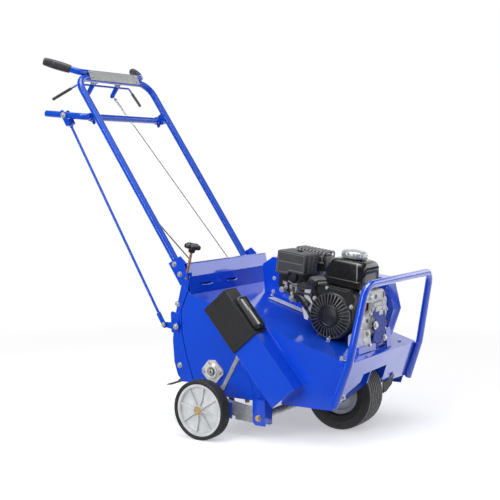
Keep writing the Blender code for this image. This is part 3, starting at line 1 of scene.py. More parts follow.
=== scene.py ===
"""The looks of a walk-behind aerator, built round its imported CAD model.

Pieces are placed in the gauge frame: the ground is z = 0, the middle plane is x = 0, the machine's
front faces -Y and -X is its right side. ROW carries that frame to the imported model's own.
Sizes are in metres.
"""

import math

import bmesh
import bpy
from mathutils import Matrix, Vector


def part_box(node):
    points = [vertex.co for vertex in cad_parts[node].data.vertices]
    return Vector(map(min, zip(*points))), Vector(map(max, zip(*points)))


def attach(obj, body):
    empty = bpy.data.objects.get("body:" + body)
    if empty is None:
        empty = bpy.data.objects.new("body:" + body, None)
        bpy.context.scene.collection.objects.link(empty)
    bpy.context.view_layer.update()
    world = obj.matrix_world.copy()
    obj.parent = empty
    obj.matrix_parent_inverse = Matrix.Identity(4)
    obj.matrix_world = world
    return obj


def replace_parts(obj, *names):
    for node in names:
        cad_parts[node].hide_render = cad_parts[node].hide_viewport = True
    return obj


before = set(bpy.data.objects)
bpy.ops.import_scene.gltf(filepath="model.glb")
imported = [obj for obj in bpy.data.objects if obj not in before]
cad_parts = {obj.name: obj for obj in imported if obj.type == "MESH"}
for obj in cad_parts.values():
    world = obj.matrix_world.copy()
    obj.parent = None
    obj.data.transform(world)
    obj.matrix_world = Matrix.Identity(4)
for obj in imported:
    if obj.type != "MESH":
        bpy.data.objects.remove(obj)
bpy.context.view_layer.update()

# Camera, in the gauge frame
CAMERA_AT = (-3.1279, -1.7593, 0.8969)
CAMERA_LENS = 73.23
CAMERA_TURN = 0.99552
CAMERA_DROP = 0.07654
CAMERA_ROLL = -0.00978

# Light, as strengths that a mirror sees, and the floor
WORLD_LIGHT = 0.4
CARD_LIGHT = 2.4
ZENITH_LIGHT = 6.0
STRIP_LIGHT = 7.0
STRIP_AIM = (-0.985, 0.174)
DARK_SIDE = 0.06
FLOOR_HALF = 14.0
FLOOR_GREY = 0.8
FLOOR_SHADE = 0.95
FLOOR_GLOW = 0.4
FLOOR_FADE = (1.1, 2.4)

# Places that the CAD part also uses
FRONT_AXLE = (0.0, -0.119, 0.127)
REAR_AXLE = (0.389, 0.216, 0.1016)
CARRIAGE = (0.042, 0.078)
REEL = (0.254, 0.207)
ENGINE_AT = (0.0, -0.13, 0.41)
ENGINE_TILT = math.radians(8.0)
DECK_FRONT = (-0.272, 0.281)
DECK_SLOPE = 0.303
BUMPER = ((0.2871, -0.2319, 0.141), (0.2775, -0.281, 0.28), (0.256, -0.332, 0.537))
GUARD_TOP = (0.194, 0.462)
GUARD_LINE = Vector((-0.6475, -0.7621)).normalized()
GUARD_SIDE = Vector((GUARD_LINE.y, -GUARD_LINE.x))
GUARD_FACE_X = -0.3245
TUBE_RADIUS = 0.0127
HANDLE_X = 0.217
LEG_FOOT = (0.4085, 0.5255)
LEG_TOP = (0.908, 1.262)
GRIP_BAR = (0.917, 1.284)
GRIP_BAR_X = 0.185
GRIP_AIM = (0.56, 0.775, 0.295)
LEVER_PIVOT = (0.8383, 1.109)
LEVER_END = (1.03, 1.128)
LEVER_X = -0.25
LEVER_PIN = (0.93, 1.1175)
CRANK_PIVOT = (0.4065, 0.354)
CRANK_PIN = (0.455, 0.358)
CRANK_X = -0.2745
ROD_FOOT_X = -0.2805
BAIL_PIVOT = (0.943, 1.256)
BAIL_ARM_END = (0.977, 1.209)
BAIL_ROD_AT = (0.9545, 1.2425)
BAIL_TIP = (0.26, 0.985, 1.18)
CABLE_X = 0.0786
CABLE_PASSING = (0.0575, 0.405, 0.572)
CABLE_ENTRY_Y = 0.3815
CASE_BOSSES = ((-0.052, 0.078), (-0.082, -0.008), (-0.046, 0.02), (-0.088, -0.05))
CASE_DRAINS = ((-0.024, -0.044), (0.062, -0.044))
SCREW_X = -0.277
SCREW_KNOB = (0.327, 0.641)
SCREW_NUT = (0.3535, 0.541)

# Directions, the machine's two sides, and the hair-thin core that a solid turned form needs
LEFT = (1, 0, 0)
RIGHT = (-1, 0, 0)
FORWARD = (0, -1, 0)
UP = (0, 0, 1)
DOWN = (0, 0, -1)
DECK_UP = (0, -0.29, 0.957)
FRONT_PLATE_OUT = (0, -0.943, -0.332)
SIGNS = (-1, 1)
SIDES = (("right", -1), ("left", 1))
CORE = 0.0005

lowest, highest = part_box("front_rim")
ROW = Matrix.Translation((lowest + highest) / 2 - Vector(FRONT_AXLE))
ENGINE = ROW @ Matrix.Translation(ENGINE_AT) @ Matrix.Rotation(ENGINE_TILT, 4, "X")
INCLINE = Matrix.Rotation(math.radians(20), 4, "X")


# Camera, light and floor

class Nodes:
    """Short calls that add shader nodes to a tree and join them."""

    def __init__(self, tree):
        self.tree = tree

    def node(self, kind, links=(), **settings):
        made = self.tree.nodes.new(kind)
        for name, value in settings.items():
            setattr(made, name, value)
        for socket, value in links:
            if isinstance(value, bpy.types.NodeSocket):
                self.tree.links.new(value, made.inputs[socket])
            else:
                made.inputs[socket].default_value = value
        return made

    def math(self, operation, *values):
        return self.node("ShaderNodeMath", enumerate(values), operation=operation).outputs[0]

    def times(self, first, second):
        return self.math("MULTIPLY", first, second)

    def plus(self, first, *others):
        for other in others:
            first = self.math("ADD", first, other)
        return first

    def rest(self, share):
        """What a share leaves of 1."""
        return self.math("SUBTRACT", 1.0, share)

    def ramp(self, value, low, high, from_low=0.3, from_high=0.7):
        links = [
            ("Value", value),
            ("From Min", from_low),
            ("From Max", from_high),
            ("To Min", low),
            ("To Max", high),
        ]
        return self.node("ShaderNodeMapRange", links).outputs["Result"]

    def parts(self, output):
        """The three coordinates of a place or direction."""
        source = self.node("ShaderNodeTexCoord").outputs[output]
        return self.node("ShaderNodeSeparateXYZ", [(0, source)]).outputs


def look():
    """The camera that took the photograph."""
    data = bpy.data.cameras.new("photo_camera")
    data.sensor_width = 36.0
    data.lens = CAMERA_LENS
    data.clip_start = 0.05
    level = math.cos(CAMERA_DROP)
    ahead = Vector((math.sin(CAMERA_TURN) * level, math.cos(CAMERA_TURN) * level, -math.sin(CAMERA_DROP)))
    right = Vector((math.cos(CAMERA_TURN), -math.sin(CAMERA_TURN), 0.0))
    up = right.cross(ahead)
    across = math.cos(CAMERA_ROLL) * right + math.sin(CAMERA_ROLL) * up
    upright = -math.sin(CAMERA_ROLL) * right + math.cos(CAMERA_ROLL) * up
    turn = Matrix((across, upright, -ahead)).transposed().to_4x4()
    camera = bpy.data.objects.new("photo_camera", data)
    camera.matrix_world = ROW @ Matrix.Translation(CAMERA_AT) @ turn
    bpy.context.scene.collection.objects.link(camera)
    bpy.context.scene.camera = camera


def softbox(name, place, target, width, height, power, mirrored=True):
    """A soft light that faces a point. Without mirrored it gives no highlight."""
    data = bpy.data.lights.new(name, "AREA")
    data.shape = "RECTANGLE"
    data.size = width
    data.size_y = height
    data.energy = power
    light = bpy.data.objects.new(name, data)
    aim = (Vector(target) - Vector(place)).to_track_quat("-Z", "Y").to_matrix().to_4x4()
    light.matrix_world = ROW @ Matrix.Translation(place) @ aim
    light.visible_glossy = mirrored
    bpy.context.scene.collection.objects.link(light)


def studio(tree):
    """What mirrors see of the studio, and dark where there is nothing, as on the camera's side.

    A white sweep stands behind the machine, a card at its front left and a narrow upright light at
    its right side. The ceiling is pale, with a bright patch straight above.
    """
    x, y, z = tree.parts("Generated")
    behind = tree.ramp(y, 0.0, 1.0, -0.14, 0.08)
    sweep = tree.times(behind, tree.ramp(z, 1.0, 0.1, 0.4, 0.56))
    card = tree.times(tree.ramp(z, 0.0, 1.0, 0.07, 0.13), tree.ramp(z, 1.0, 0.0, 0.42, 0.5))
    card = tree.times(tree.rest(behind), tree.times(card, CARD_LIGHT))
    room = tree.times(tree.ramp(x, 0.0, 1.0, -0.15, 0.35), tree.plus(sweep, card))
    across = tree.plus(tree.times(x, STRIP_AIM[1]), tree.times(y, -STRIP_AIM[0]))
    toward = tree.plus(tree.times(x, STRIP_AIM[0]), tree.times(y, STRIP_AIM[1]))
    strip = tree.ramp(tree.math("ABSOLUTE", across), STRIP_LIGHT, 0.0, 0.07, 0.12)
    strip = tree.times(strip, tree.ramp(toward, 0.0, 1.0, 0.05, 0.15))
    ceiling = tree.ramp(z, 0.0, 0.7, 0.72, 0.88)
    zenith = tree.ramp(z, 0.0, ZENITH_LIGHT, 0.925, 0.955)
    return tree.plus(room, ceiling, zenith, strip, DARK_SIDE)


def backdrop():
    """White to the camera and through glass, a level grey light, and a studio for reflections."""
    world = bpy.data.worlds.new("studio")
    bpy.context.scene.world = world
    world.use_nodes = True
    tree = Nodes(world.node_tree)
    path = tree.node("ShaderNodeLightPath").outputs
    mirrored = tree.times(path["Is Glossy Ray"], studio(tree))
    seen = tree.math("MAXIMUM", path["Is Camera Ray"], path["Is Transmission Ray"])
    other = tree.rest(tree.math("MAXIMUM", seen, path["Is Glossy Ray"]))
    strength = tree.plus(seen, tree.times(other, WORLD_LIGHT), mirrored)
    background = world.node_tree.nodes["Background"]
    world.node_tree.links.new(strength, background.inputs["Strength"])
    background.inputs["Color"].default_value = (1.0, 1.0, 1.0, 1.0)


def floor():
    """A pale floor: white to the camera where no shadow falls, white in mirrors away from the camera."""
    mesh = bpy.data.meshes.new("studio_floor")
    corners = [(x * FLOOR_HALF, y * FLOOR_HALF, 0) for x, y in ((-1, -1), (1, -1), (1, 1), (-1, 1))]
    mesh.from_pydata(corners, [], [(0, 1, 2, 3)])
    thing = bpy.data.objects.new("studio_floor", mesh)
    bpy.context.scene.collection.objects.link(thing)
    paint = bpy.data.materials.new("studio_floor")
    paint.use_nodes = True
    tree = Nodes(paint.node_tree)
    shader = paint.node_tree.nodes["Principled BSDF"]
    shader.inputs["Roughness"].default_value = 0.9
    shader.inputs["Specular IOR Level"].default_value = 0.0
    shader.inputs["Emission Color"].default_value = (1.0, 1.0, 1.0, 1.0)
    path = tree.node("ShaderNodeLightPath").outputs
    seen = path["Is Camera Ray"]
    glossy = path["Is Glossy Ray"]
    x, y = tree.parts("Object")[:2]
    distance = tree.math("SQRT", tree.plus(tree.math("POWER", x, 2.0), tree.math("POWER", y, 2.0)))
    near = tree.ramp(distance, 1.0, 0.0, *FLOOR_FADE)
    grey = tree.ramp(tree.times(seen, near), FLOOR_GREY, FLOOR_SHADE, 0.0, 1.0)
    hidden = tree.times(seen, tree.rest(near))
    grey = tree.times(tree.times(grey, tree.rest(hidden)), tree.rest(glossy))
    colour = tree.node("ShaderNodeCombineColor", [("Red", grey), ("Green", grey), ("Blue", grey)])
    paint.node_tree.links.new(colour.outputs[0], shader.inputs["Base Color"])
    white = tree.ramp(near, 1.0, FLOOR_GLOW, 0.0, 1.0)
    mirrored = tree.ramp(x, DARK_SIDE, 1.5, -1.0, 0.6)
    glow = tree.plus(tree.times(seen, white), tree.times(glossy, mirrored))
    paint.node_tree.links.new(glow, shader.inputs["Emission Strength"])
    mesh.materials.append(paint)


# Materials, with the slot of each look and the look that the CAD nodes of each slot wear

LOOK_OF = {}


class Paint(Nodes):
    """A procedural material: its shader, and short calls that feed its sockets.

    The first one that is made for a slot also dresses the CAD nodes of that slot.
    """

    def __init__(self, name, slot):
        self.material = bpy.data.materials.new(name)
        self.material.use_nodes = True
        super().__init__(self.material.node_tree)
        self.shader = self.tree.nodes["Principled BSDF"]
        self.place = self.node("ShaderNodeTexCoord").outputs["Object"]
        LOOK_OF.setdefault(slot, self.material)

    def set(self, **values):
        for name, value in values.items():
            self.shader.inputs[name.replace("_", " ")].default_value = value

    def feed(self, socket, value):
        self.tree.links.new(value, self.shader.inputs[socket])

    def noise(self, scale, detail=4.0):
        links = [("Vector", self.place), ("Scale", scale), ("Detail", detail)]
        return self.node("ShaderNodeTexNoise", links).outputs["Fac"]

    def mix(self, share, first, second):
        """One colour over another. A colour is three numbers or a socket."""
        links = [(0, share)]
        for index, value in ((6, first), (7, second)):
            links.append((index, value if isinstance(value, bpy.types.NodeSocket) else (*value, 1.0)))
        return self.node("ShaderNodeMix", links, data_type="RGBA").outputs[2]

    def cloudy(self, colour, vary, scale):
        """A colour that wanders a little to its darker and lighter sides."""
        dark = [channel * (1 - vary) for channel in colour]
        light = [min(channel * (1 + vary), 1.0) for channel in colour]
        return self.mix(self.ramp(self.noise(scale), 0.0, 1.0), dark, light)

    def wear_and_highlight_edges(self, tone, edge_wear_and_highlight, radius, patches):
        """The edge colour at sharp edges, where a bevel would turn the normal, and only in patches. It is
        wear on most looks and a painted highlight on the fins, the light lines, the darker cast and the
        muffler guard.
        """
        bevel = self.node("ShaderNodeBevel", [("Radius", radius)], samples=4)
        flat = self.node("ShaderNodeNewGeometry")
        links = [(0, bevel.outputs[0]), (1, flat.outputs["Normal"])]
        dot = self.node("ShaderNodeVectorMath", links, operation="DOT_PRODUCT")
        edge = self.ramp(dot.outputs["Value"], 1.0, 0.0, 0.7, 0.95)
        return self.mix(self.times(edge, patches), tone, edge_wear_and_highlight)

    def relief(self, height, strength, distance, edge=0.0):
        links = [("Height", height), ("Strength", strength), ("Distance", distance)]
        bump = self.node("ShaderNodeBump", links)
        if edge:
            bevel = self.node("ShaderNodeBevel", [("Radius", edge)], samples=4)
            self.tree.links.new(bevel.outputs[0], bump.inputs["Normal"])
        self.feed("Normal", bump.outputs[0])


def plain(name, slot, colour, roughness, edge_wear_and_highlight=None, vary=0.12, scale=30.0, grain=400.0, bump=0.2, **more):
    """A surface with cloudy colour, uneven gloss, a fine grain and a lighter or darker colour at its edges:
    wear on most looks, a painted highlight on some.
    """
    made = Paint(name, slot)
    tone = made.cloudy(colour, vary, scale)
    if edge_wear_and_highlight is not None:
        patches = made.ramp(made.noise(scale * 4.0, 6.0), 0.0, 1.0, 0.42, 0.66)
        tone = made.wear_and_highlight_edges(tone, edge_wear_and_highlight, 0.0012, patches)
    made.feed("Base Color", tone)
    made.feed("Roughness", made.ramp(made.noise(scale * 2.5), roughness * 0.85, min(roughness * 1.2, 1.0)))
    made.relief(made.noise(grain, 3.0), bump, 0.0004)
    made.set(**more)
    return made.material


def gloss_paint(name, colour, coat_ior, coat_roughness, sheets):
    """Blue paint under a clear coat. On sheets it has a slight orange peel and lighter rubbed edges."""
    made = Paint(name, "blue_paint")
    tone = made.cloudy(colour, 0.06, 6.0)
    if sheets:
        rubbed = made.ramp(made.noise(70.0, 6.0), 0.0, 1.0, 0.5, 0.72)
        tone = made.wear_and_highlight_edges(tone, (0.07, 0.17, 0.74), 0.001, rubbed)
        made.relief(made.noise(160.0, 2.0), 0.02, 0.0006, edge=0.001)
    made.feed("Base Color", tone)
    made.feed("Roughness", made.ramp(made.noise(14.0), 0.3, 0.42))
    made.set(Coat_Weight=1.0, Coat_Roughness=coat_roughness, Coat_IOR=coat_ior, Specular_IOR_Level=0.15)
    return made.material


BLUE = gloss_paint("gloss_blue", (0.003, 0.074, 0.72), 1.75, 0.08, sheets=True)
# A darker copy of the same blue paint for the tubes and rods, so that they render darker: painted shade.
SHADED_TUBE_BLUE = gloss_paint("shaded_tube_blue", (0.003, 0.076, 0.6), 1.42, 0.04, sheets=False)
# A darker copy of the blue paint, for a sheet that stands for shade: painted shade.
SHADE_SHEET_BLUE = plain(
    "shaded_blue_look", "blue_paint", (0.006, 0.035, 0.34), 0.5, (0.02, 0.08, 0.5), vary=0.2, bump=0.3
)
BLACK = plain(
    "black_plastic_look", "black_plastic", (0.016, 0.016, 0.018), 0.34, (0.07, 0.07, 0.075), bump=0.25
)
SATIN = plain(
    "satin_black_look", "black_plastic", (0.02, 0.021, 0.023), 0.24, (0.08, 0.08, 0.085), bump=0.08
)
GREY_BLACK = plain(
    "grained_grey_look", "black_plastic", (0.055, 0.056, 0.06),
    0.5, (0.12, 0.12, 0.125), grain=900.0, bump=0.5,
)
RUBBER = plain("rubber_look", "black_rubber", (0.022, 0.022, 0.023), 0.62, (0.05, 0.05, 0.05), bump=0.4)
GRIP = plain("grip_look", "black_rubber", (0.042, 0.04, 0.046), 0.5, (0.1, 0.1, 0.105), vary=0.2, bump=0.4)
TYRE = plain(
    "tyre_look", "tyre_rubber", (0.024, 0.024, 0.026), 0.66, (0.075, 0.072, 0.068), vary=0.25, bump=0.5
)
CAST = plain(
    "cast_look", "cast_aluminium", (0.58, 0.59, 0.6), 0.42,
    (0.75, 0.75, 0.76), grain=700.0, bump=0.9, Metallic=0.35,
)
ZINC = plain(
    "zinc_look", "zinc_steel", (0.62, 0.63, 0.64), 0.3, (0.8, 0.8, 0.8), vary=0.18, scale=60.0, Metallic=0.5
)
DARK = plain(
    "dark_steel_look", "dark_steel", (0.1, 0.1, 0.105), 0.42, (0.35, 0.34, 0.33), vary=0.3, Metallic=0.9
)
RIM = plain(
    "grey_rim_look", "grey_rim", (0.66, 0.675, 0.69), 0.36, (0.68, 0.69, 0.7), grain=500.0, bump=0.3
)
PLATE = plain(
    "grey_plate_look", "grey_plate", (0.44, 0.445, 0.44), 0.42,
    (0.6, 0.6, 0.6), vary=0.14, scale=40.0, Metallic=0.2,
)
BRASS = plain(
    "yellow_zinc_look", "yellow_zinc", (0.72, 0.5, 0.2), 0.3, (0.85, 0.66, 0.36), vary=0.2, Metallic=0.45
)
WHITE_STEEL = plain(
    "white_steel_look", "zinc_steel", (0.56, 0.57, 0.58), 0.3, (0.9, 0.9, 0.9), vary=0.2, Metallic=0.45
)
CABLE_GREY = plain(
    "cable_grey_look", "zinc_steel", (0.1, 0.1, 0.105), 0.45, (0.3, 0.3, 0.3), vary=0.2, Metallic=0.4
)
BRIGHT = plain(
    "bright_look", "bright_cap", (0.6, 0.61, 0.62), 0.32, (0.85, 0.85, 0.85), vary=0.1, Metallic=0.6
)
BEARING = plain(
    "bearing_look", "cast_aluminium", (0.78, 0.78, 0.76), 0.36,
    (0.9, 0.9, 0.9), vary=0.12, grain=700.0, bump=0.7, Metallic=0.2,
)
BROWN_ZINC = plain(
    "brown_zinc_look", "yellow_zinc", (0.4, 0.215, 0.11), 0.36, (0.6, 0.4, 0.24), vary=0.2, Metallic=0.35
)
MUFFLER_BLACK = plain(
    "muffler_black_look", "dark_steel", (0.02, 0.02, 0.021), 0.4, (0.08, 0.08, 0.08), bump=0.3
)
TANK_BLACK = plain(
    "tank_black_look", "black_plastic", (0.014, 0.014, 0.016), 0.12, (0.07, 0.07, 0.075), bump=0.04
)
TREAD = plain(
    "tread_look", "tyre_rubber", (0.16, 0.16, 0.162), 0.72, (0.2, 0.2, 0.2), vary=0.35, scale=60.0, bump=0.5
)
# Dark grey with light grey edges, standing for the highlights on the black louvres: painted highlight.
FIN_HIGHLIGHT_GREY = plain("recoil_fin_look", "black_plastic", (0.075, 0.076, 0.08), 0.26, (0.42, 0.42, 0.43), bump=0.15)
HIGHLIGHT_LINE_GREY = plain("light_line_look", "black_plastic", (0.2, 0.2, 0.205), 0.38, (0.3, 0.3, 0.3), bump=0.1)
# A darker copy of the cast aluminium with light edges: painted shade on the faces, painted highlights at
# the edges.
SHADED_CAST = plain(
    "dark_cast_look", "cast_aluminium", (0.16, 0.16, 0.165), 0.36,
    (0.7, 0.7, 0.7), vary=0.35, scale=90.0, bump=0.5, Metallic=0.4,
)
RED = plain("red_look", "red_plastic", (0.62, 0.025, 0.015), 0.35, (0.8, 0.1, 0.08))
WHITE = plain("white_look", "grey_rim", (0.72, 0.73, 0.74), 0.4, (0.85, 0.85, 0.85))
PAPER = plain("paper_look", "grey_plate", (0.7, 0.7, 0.66), 0.8, vary=0.08, bump=0.3)
BOX_BLACK = plain(
    "document_box_look_paint", "black_plastic", (0.022, 0.022, 0.024),
    0.55, (0.07, 0.07, 0.07), grain=800.0, bump=0.5,
)
CARRIAGE_ZINC = plain(
    "carriage_zinc_look", "zinc_steel", (0.5, 0.51, 0.52), 0.38,
    (0.7, 0.7, 0.7), vary=0.25, scale=45.0, Metallic=0.35,
)
# Grey with light edges, standing for the highlights on the black guard bars: painted highlight.
GUARD_HIGHLIGHT_GREY = plain(
    "muffler_guard_look", "dark_steel", (0.26, 0.26, 0.262), 0.34, (0.5, 0.5, 0.5), bump=0.3, Metallic=0.4
)


def dress_nodes():
    """Gives each CAD node the look of its material slot."""
    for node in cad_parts.values():
        for holder in node.material_slots:
            name = holder.material.name.split(".")[0]
            holder.material = LOOK_OF[name]


# Outlines and sections

def span(sign, first, second):
    """Two places across the machine on one of its sides, the lower one first."""
    return sorted((sign * first, sign * second))


def disc(radius, low, high):
    """The section of a disc, for a lathe."""
    return hoop(CORE, radius, low, high)


def hoop(inner, outer, low, high):
    """The section of a flat ring, for a lathe."""
    return [(inner, low), (outer, low), (outer, high), (inner, high)]


def mirrored(profile):
    """A section and its mirror image across the middle of a wheel."""
    return profile + [(radius, -height) for radius, height in reversed(profile)]


def arc(centre, radius, start, end, count):
    """Points on an arc. The angles are in degrees."""
    points = []
    for index in range(count + 1):
        angle = math.radians(start + (end - start) * index / count)
        points.append((centre[0] + radius * math.cos(angle), centre[1] + radius * math.sin(angle)))
    return points


def rounded(x0, x1, y0, y1, radius, count=6):
    """A rectangle with rounded corners."""
    points = arc((x1 - radius, y1 - radius), radius, 0, 90, count)
    points += arc((x0 + radius, y1 - radius), radius, 90, 180, count)
    points += arc((x0 + radius, y0 + radius), radius, 180, 270, count)
    return points + arc((x1 - radius, y0 + radius), radius, 270, 360, count)


def link(first, first_radius, second, second_radius, count=14, second_count=14):
    """A bar with two round ends."""
    line = Vector(second) - Vector(first)
    heading = math.degrees(math.atan2(line.y, line.x))
    points = arc(first, first_radius, heading + 90, heading + 270, count)
    return points + arc(second, second_radius, heading - 90, heading + 90, second_count)


def lay(axis, outline, height):
    """An outline laid across one axis. It is (y, z) for X, (x, z) for Y and (x, y) for Z."""
    spot = "XYZ".index(axis)
    return [(*point[:spot], height, *point[spot:]) for point in outline]


def ease(points, bend, count=6):
    """A path whose corners are arcs of one radius."""
    points = [Vector(point) for point in points]
    if not bend:
        return points
    path = [points[0]]
    for before, corner, after in zip(points, points[1:], points[2:]):
        inward = (before - corner).normalized()
        outward = (after - corner).normalized()
        half = inward.angle(outward) / 2
        if half > math.radians(88.5):
            path.append(corner)
            continue
        reach = bend / math.tan(half)
        middle = corner + (inward + outward).normalized() * (bend / math.sin(half))
        first = corner + inward * reach - middle
        last = corner + outward * reach - middle
        turn = first.angle(last)
        for index in range(count + 1):
            share = index / count
            one = math.sin((1 - share) * turn) / math.sin(turn)
            two = math.sin(share * turn) / math.sin(turn)
            path.append(middle + first * one + last * two)
    path.append(points[-1])
    return path


# Shapes

class Shape:
    """Gathers closed forms in one mesh. Its points are carried to the row frame by its place."""

    def __init__(self, place=ROW):
        self.cage = bmesh.new()
        self.place = place

    def block(self, low, high, turn=Matrix.Identity(4)):
        """A box between two corners, turned about its middle."""
        middle = (Vector(low) + Vector(high)) / 2
        size = Vector(high) - Vector(low)
        matrix = self.place @ Matrix.Translation(middle) @ turn @ Matrix.Diagonal((*size, 1.0))
        bmesh.ops.create_cube(self.cage, size=1.0, matrix=matrix)
        return self

    def rod(self, start, end, radius, sides=20, end_radius=None):
        """A cylinder or a cone between two points."""
        start = Vector(start)
        end = Vector(end)
        turn = (end - start).to_track_quat("Z", "Y").to_matrix().to_4x4()
        bmesh.ops.create_cone(
            self.cage,
            cap_ends=True,
            segments=sides,
            radius1=radius,
            radius2=radius if end_radius is None else end_radius,
            depth=(end - start).length,
            matrix=self.place @ Matrix.Translation((start + end) / 2) @ turn,
        )
        return self

    def rings(self, rows, closed=False):
        """A skin over rows of points, with flat ends, or joined to itself when closed."""
        made = [[self.cage.verts.new(self.place @ Vector(point)) for point in row] for row in rows]
        pairs = list(zip(made, made[1:]))
        if closed:
            pairs.append((made[-1], made[0]))
        for first, second in pairs:
            count = len(first)
            for index in range(count):
                after = (index + 1) % count
                self.cage.faces.new((first[index], first[after], second[after], second[index]))
        if not closed:
            self.cage.faces.new(made[0])
            self.cage.faces.new(list(reversed(made[-1])))
        return self

    def slab(self, x0, x1, path, thick):
        """A sheet from x0 to x1 whose underside follows (y, z) points."""
        rows = []
        for y, z in path:
            rows.append([(x0, y, z), (x1, y, z), (x1, y, z + thick), (x0, y, z + thick)])
        return self.rings(rows)

    def prism(self, axis, outline, low, high):
        """A flat piece across one axis."""
        return self.rings([lay(axis, outline, low), lay(axis, outline, high)])

    def prisms(self, axis, *pieces):
        """Flat pieces across one axis, each (low, high, outline)."""
        for low, high, outline in pieces:
            self.prism(axis, outline, low, high)

    def lathe(self, centre, axis, profile, steps=48, wave=None):
        """A closed turned form. The profile's points are (radius, height) and go once round."""
        turn = Vector(axis).to_track_quat("Z", "Y").to_matrix().to_4x4()
        place = Matrix.Translation(centre) @ turn
        rows = []
        for step in range(steps):
            angle = 2 * math.pi * step / steps
            row = []
            for radius, height in profile:
                reach = radius * (wave(angle, radius) if wave else 1.0)
                row.append(place @ Vector((reach * math.cos(angle), reach * math.sin(angle), height)))
            rows.append(row)
        return self.rings(rows, closed=True)

    def loft(self, axis, levels, x0, x1, y0, y1, steps=6):
        """A body through rounded rectangles. Each level is (height, inset, corner radius)."""
        rows = []
        for height, inset, radius in levels:
            outline = rounded(x0 + inset, x1 - inset, y0 + inset, y1 - inset, radius, steps)
            rows.append(lay(axis, outline, height))
        return self.rings(rows)

    def pipe(self, points, radius, sides=12, bend=0.0, beads=None):
        """A round wire or tube along a path. Beads give the radius a wave, as on a weld or a bellows."""
        path = ease(points, bend)
        side = None
        rows = []
        for index, point in enumerate(path):
            before = path[max(index - 1, 0)]
            after = path[min(index + 1, len(path) - 1)]
            ahead = (after - before).normalized()
            if side is None:
                side = ahead.orthogonal().normalized()
            side = (side - ahead * side.dot(ahead)).normalized()
            other = ahead.cross(side)
            reach = radius * (beads(index) if beads else 1.0)
            row = []
            for step in range(sides):
                angle = 2 * math.pi * step / sides
                row.append(point + (side * math.cos(angle) + other * math.sin(angle)) * reach)
            rows.append(row)
        return self.rings(rows)

    def weld(self, start, end, radius=0.0025):
        """A rippled weld bead between two points."""
        start = Vector(start)
        end = Vector(end)
        count = max(int((end - start).length / 0.0018), 4)
        path = [start.lerp(end, index / count) for index in range(count + 1)]
        return self.pipe(path, radius, 8, beads=lambda index: 0.78 + 0.22 * (index % 2))

    def bolt(self, at, axis, size=0.0065, washer=True, nut=False):
        """A hexagon head, or a nut on its thread, with a chamfer and a washer under it."""
        out = Vector(axis).normalized()
        foot = Vector(at)
        if washer:
            self.lathe(foot, out, disc(size * 1.75, 0.0, size * 0.22), 24)
            foot = foot + out * size * 0.2
        tall = size * (1.0 if nut else 0.85)
        profile = [(CORE, 0.0), (size * 1.08, 0.0), (size * 1.15, tall * 0.12), (size * 1.15, tall * 0.82)]
        profile += [(size * 0.9, tall), (CORE, tall)]
        self.lathe(foot, out, profile, 6)
        if nut:
            self.rod(foot + out * tall * 0.9, foot + out * tall * 1.45, size * 0.55, 14)
        else:
            self.rod(foot + out * tall * 0.95, foot + out * tall * 1.06, size * 0.62, 18)
        return self

    def bolts(self, x, places, axis, size):
        """Bolts at several (y, z) places of one upright face."""
        for y, z in places:
            self.bolt((x, y, z), axis, size)

    def make(self, name, look, body="chassis", bevel=0.0, angle=35.0):
        """Closes the mesh and gives it its look, its body and its softened edges."""
        bmesh.ops.recalc_face_normals(self.cage, faces=self.cage.faces)
        mesh = bpy.data.meshes.new(name)
        self.cage.to_mesh(mesh)
        self.cage.free()
        mesh.materials.append(look)
        mesh.shade_smooth()
        mesh.set_sharp_from_angle(angle=math.radians(angle))
        thing = bpy.data.objects.new(name, mesh)
        bpy.context.scene.collection.objects.link(thing)
        if bevel:
            edge = thing.modifiers.new("edges", "BEVEL")
            edge.width = bevel
            edge.segments = 2
            edge.limit_method = "ANGLE"
            edge.angle_limit = math.radians(40)
            edge.harden_normals = False
        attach(thing, body)
        return thing

    def dress(self, node, look, body="chassis", **edges):
        """Makes the piece that is shown in place of a CAD node."""
        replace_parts(self.make(f"{node}_look", look, body, **edges), node)


# Wheels

def tread(outer, inner, half, grooves, depth, wide):
    """A tyre's section, with grooves round the tread and a raised line on the side walls."""
    tall = outer - inner
    wall = (
        (0.0, 0.74), (0.12, 0.92), (0.4, 1.0), (0.46, 1.02),
        (0.52, 1.0), (0.78, 0.985), (0.88, 0.965), (0.96, 0.9),
    )
    profile = [(inner + tall * up, half * out) for up, out in wall]
    for place in grooves:
        foot = outer - (place / half) ** 2 * tall * 0.05
        profile += [(foot, place + wide), (foot - depth, place + wide * 0.5)]
        profile += [(foot - depth, place - wide * 0.5), (foot, place - wide)]
    return profile + [(radius, -height) for radius, height in reversed(profile[: len(wall)])]


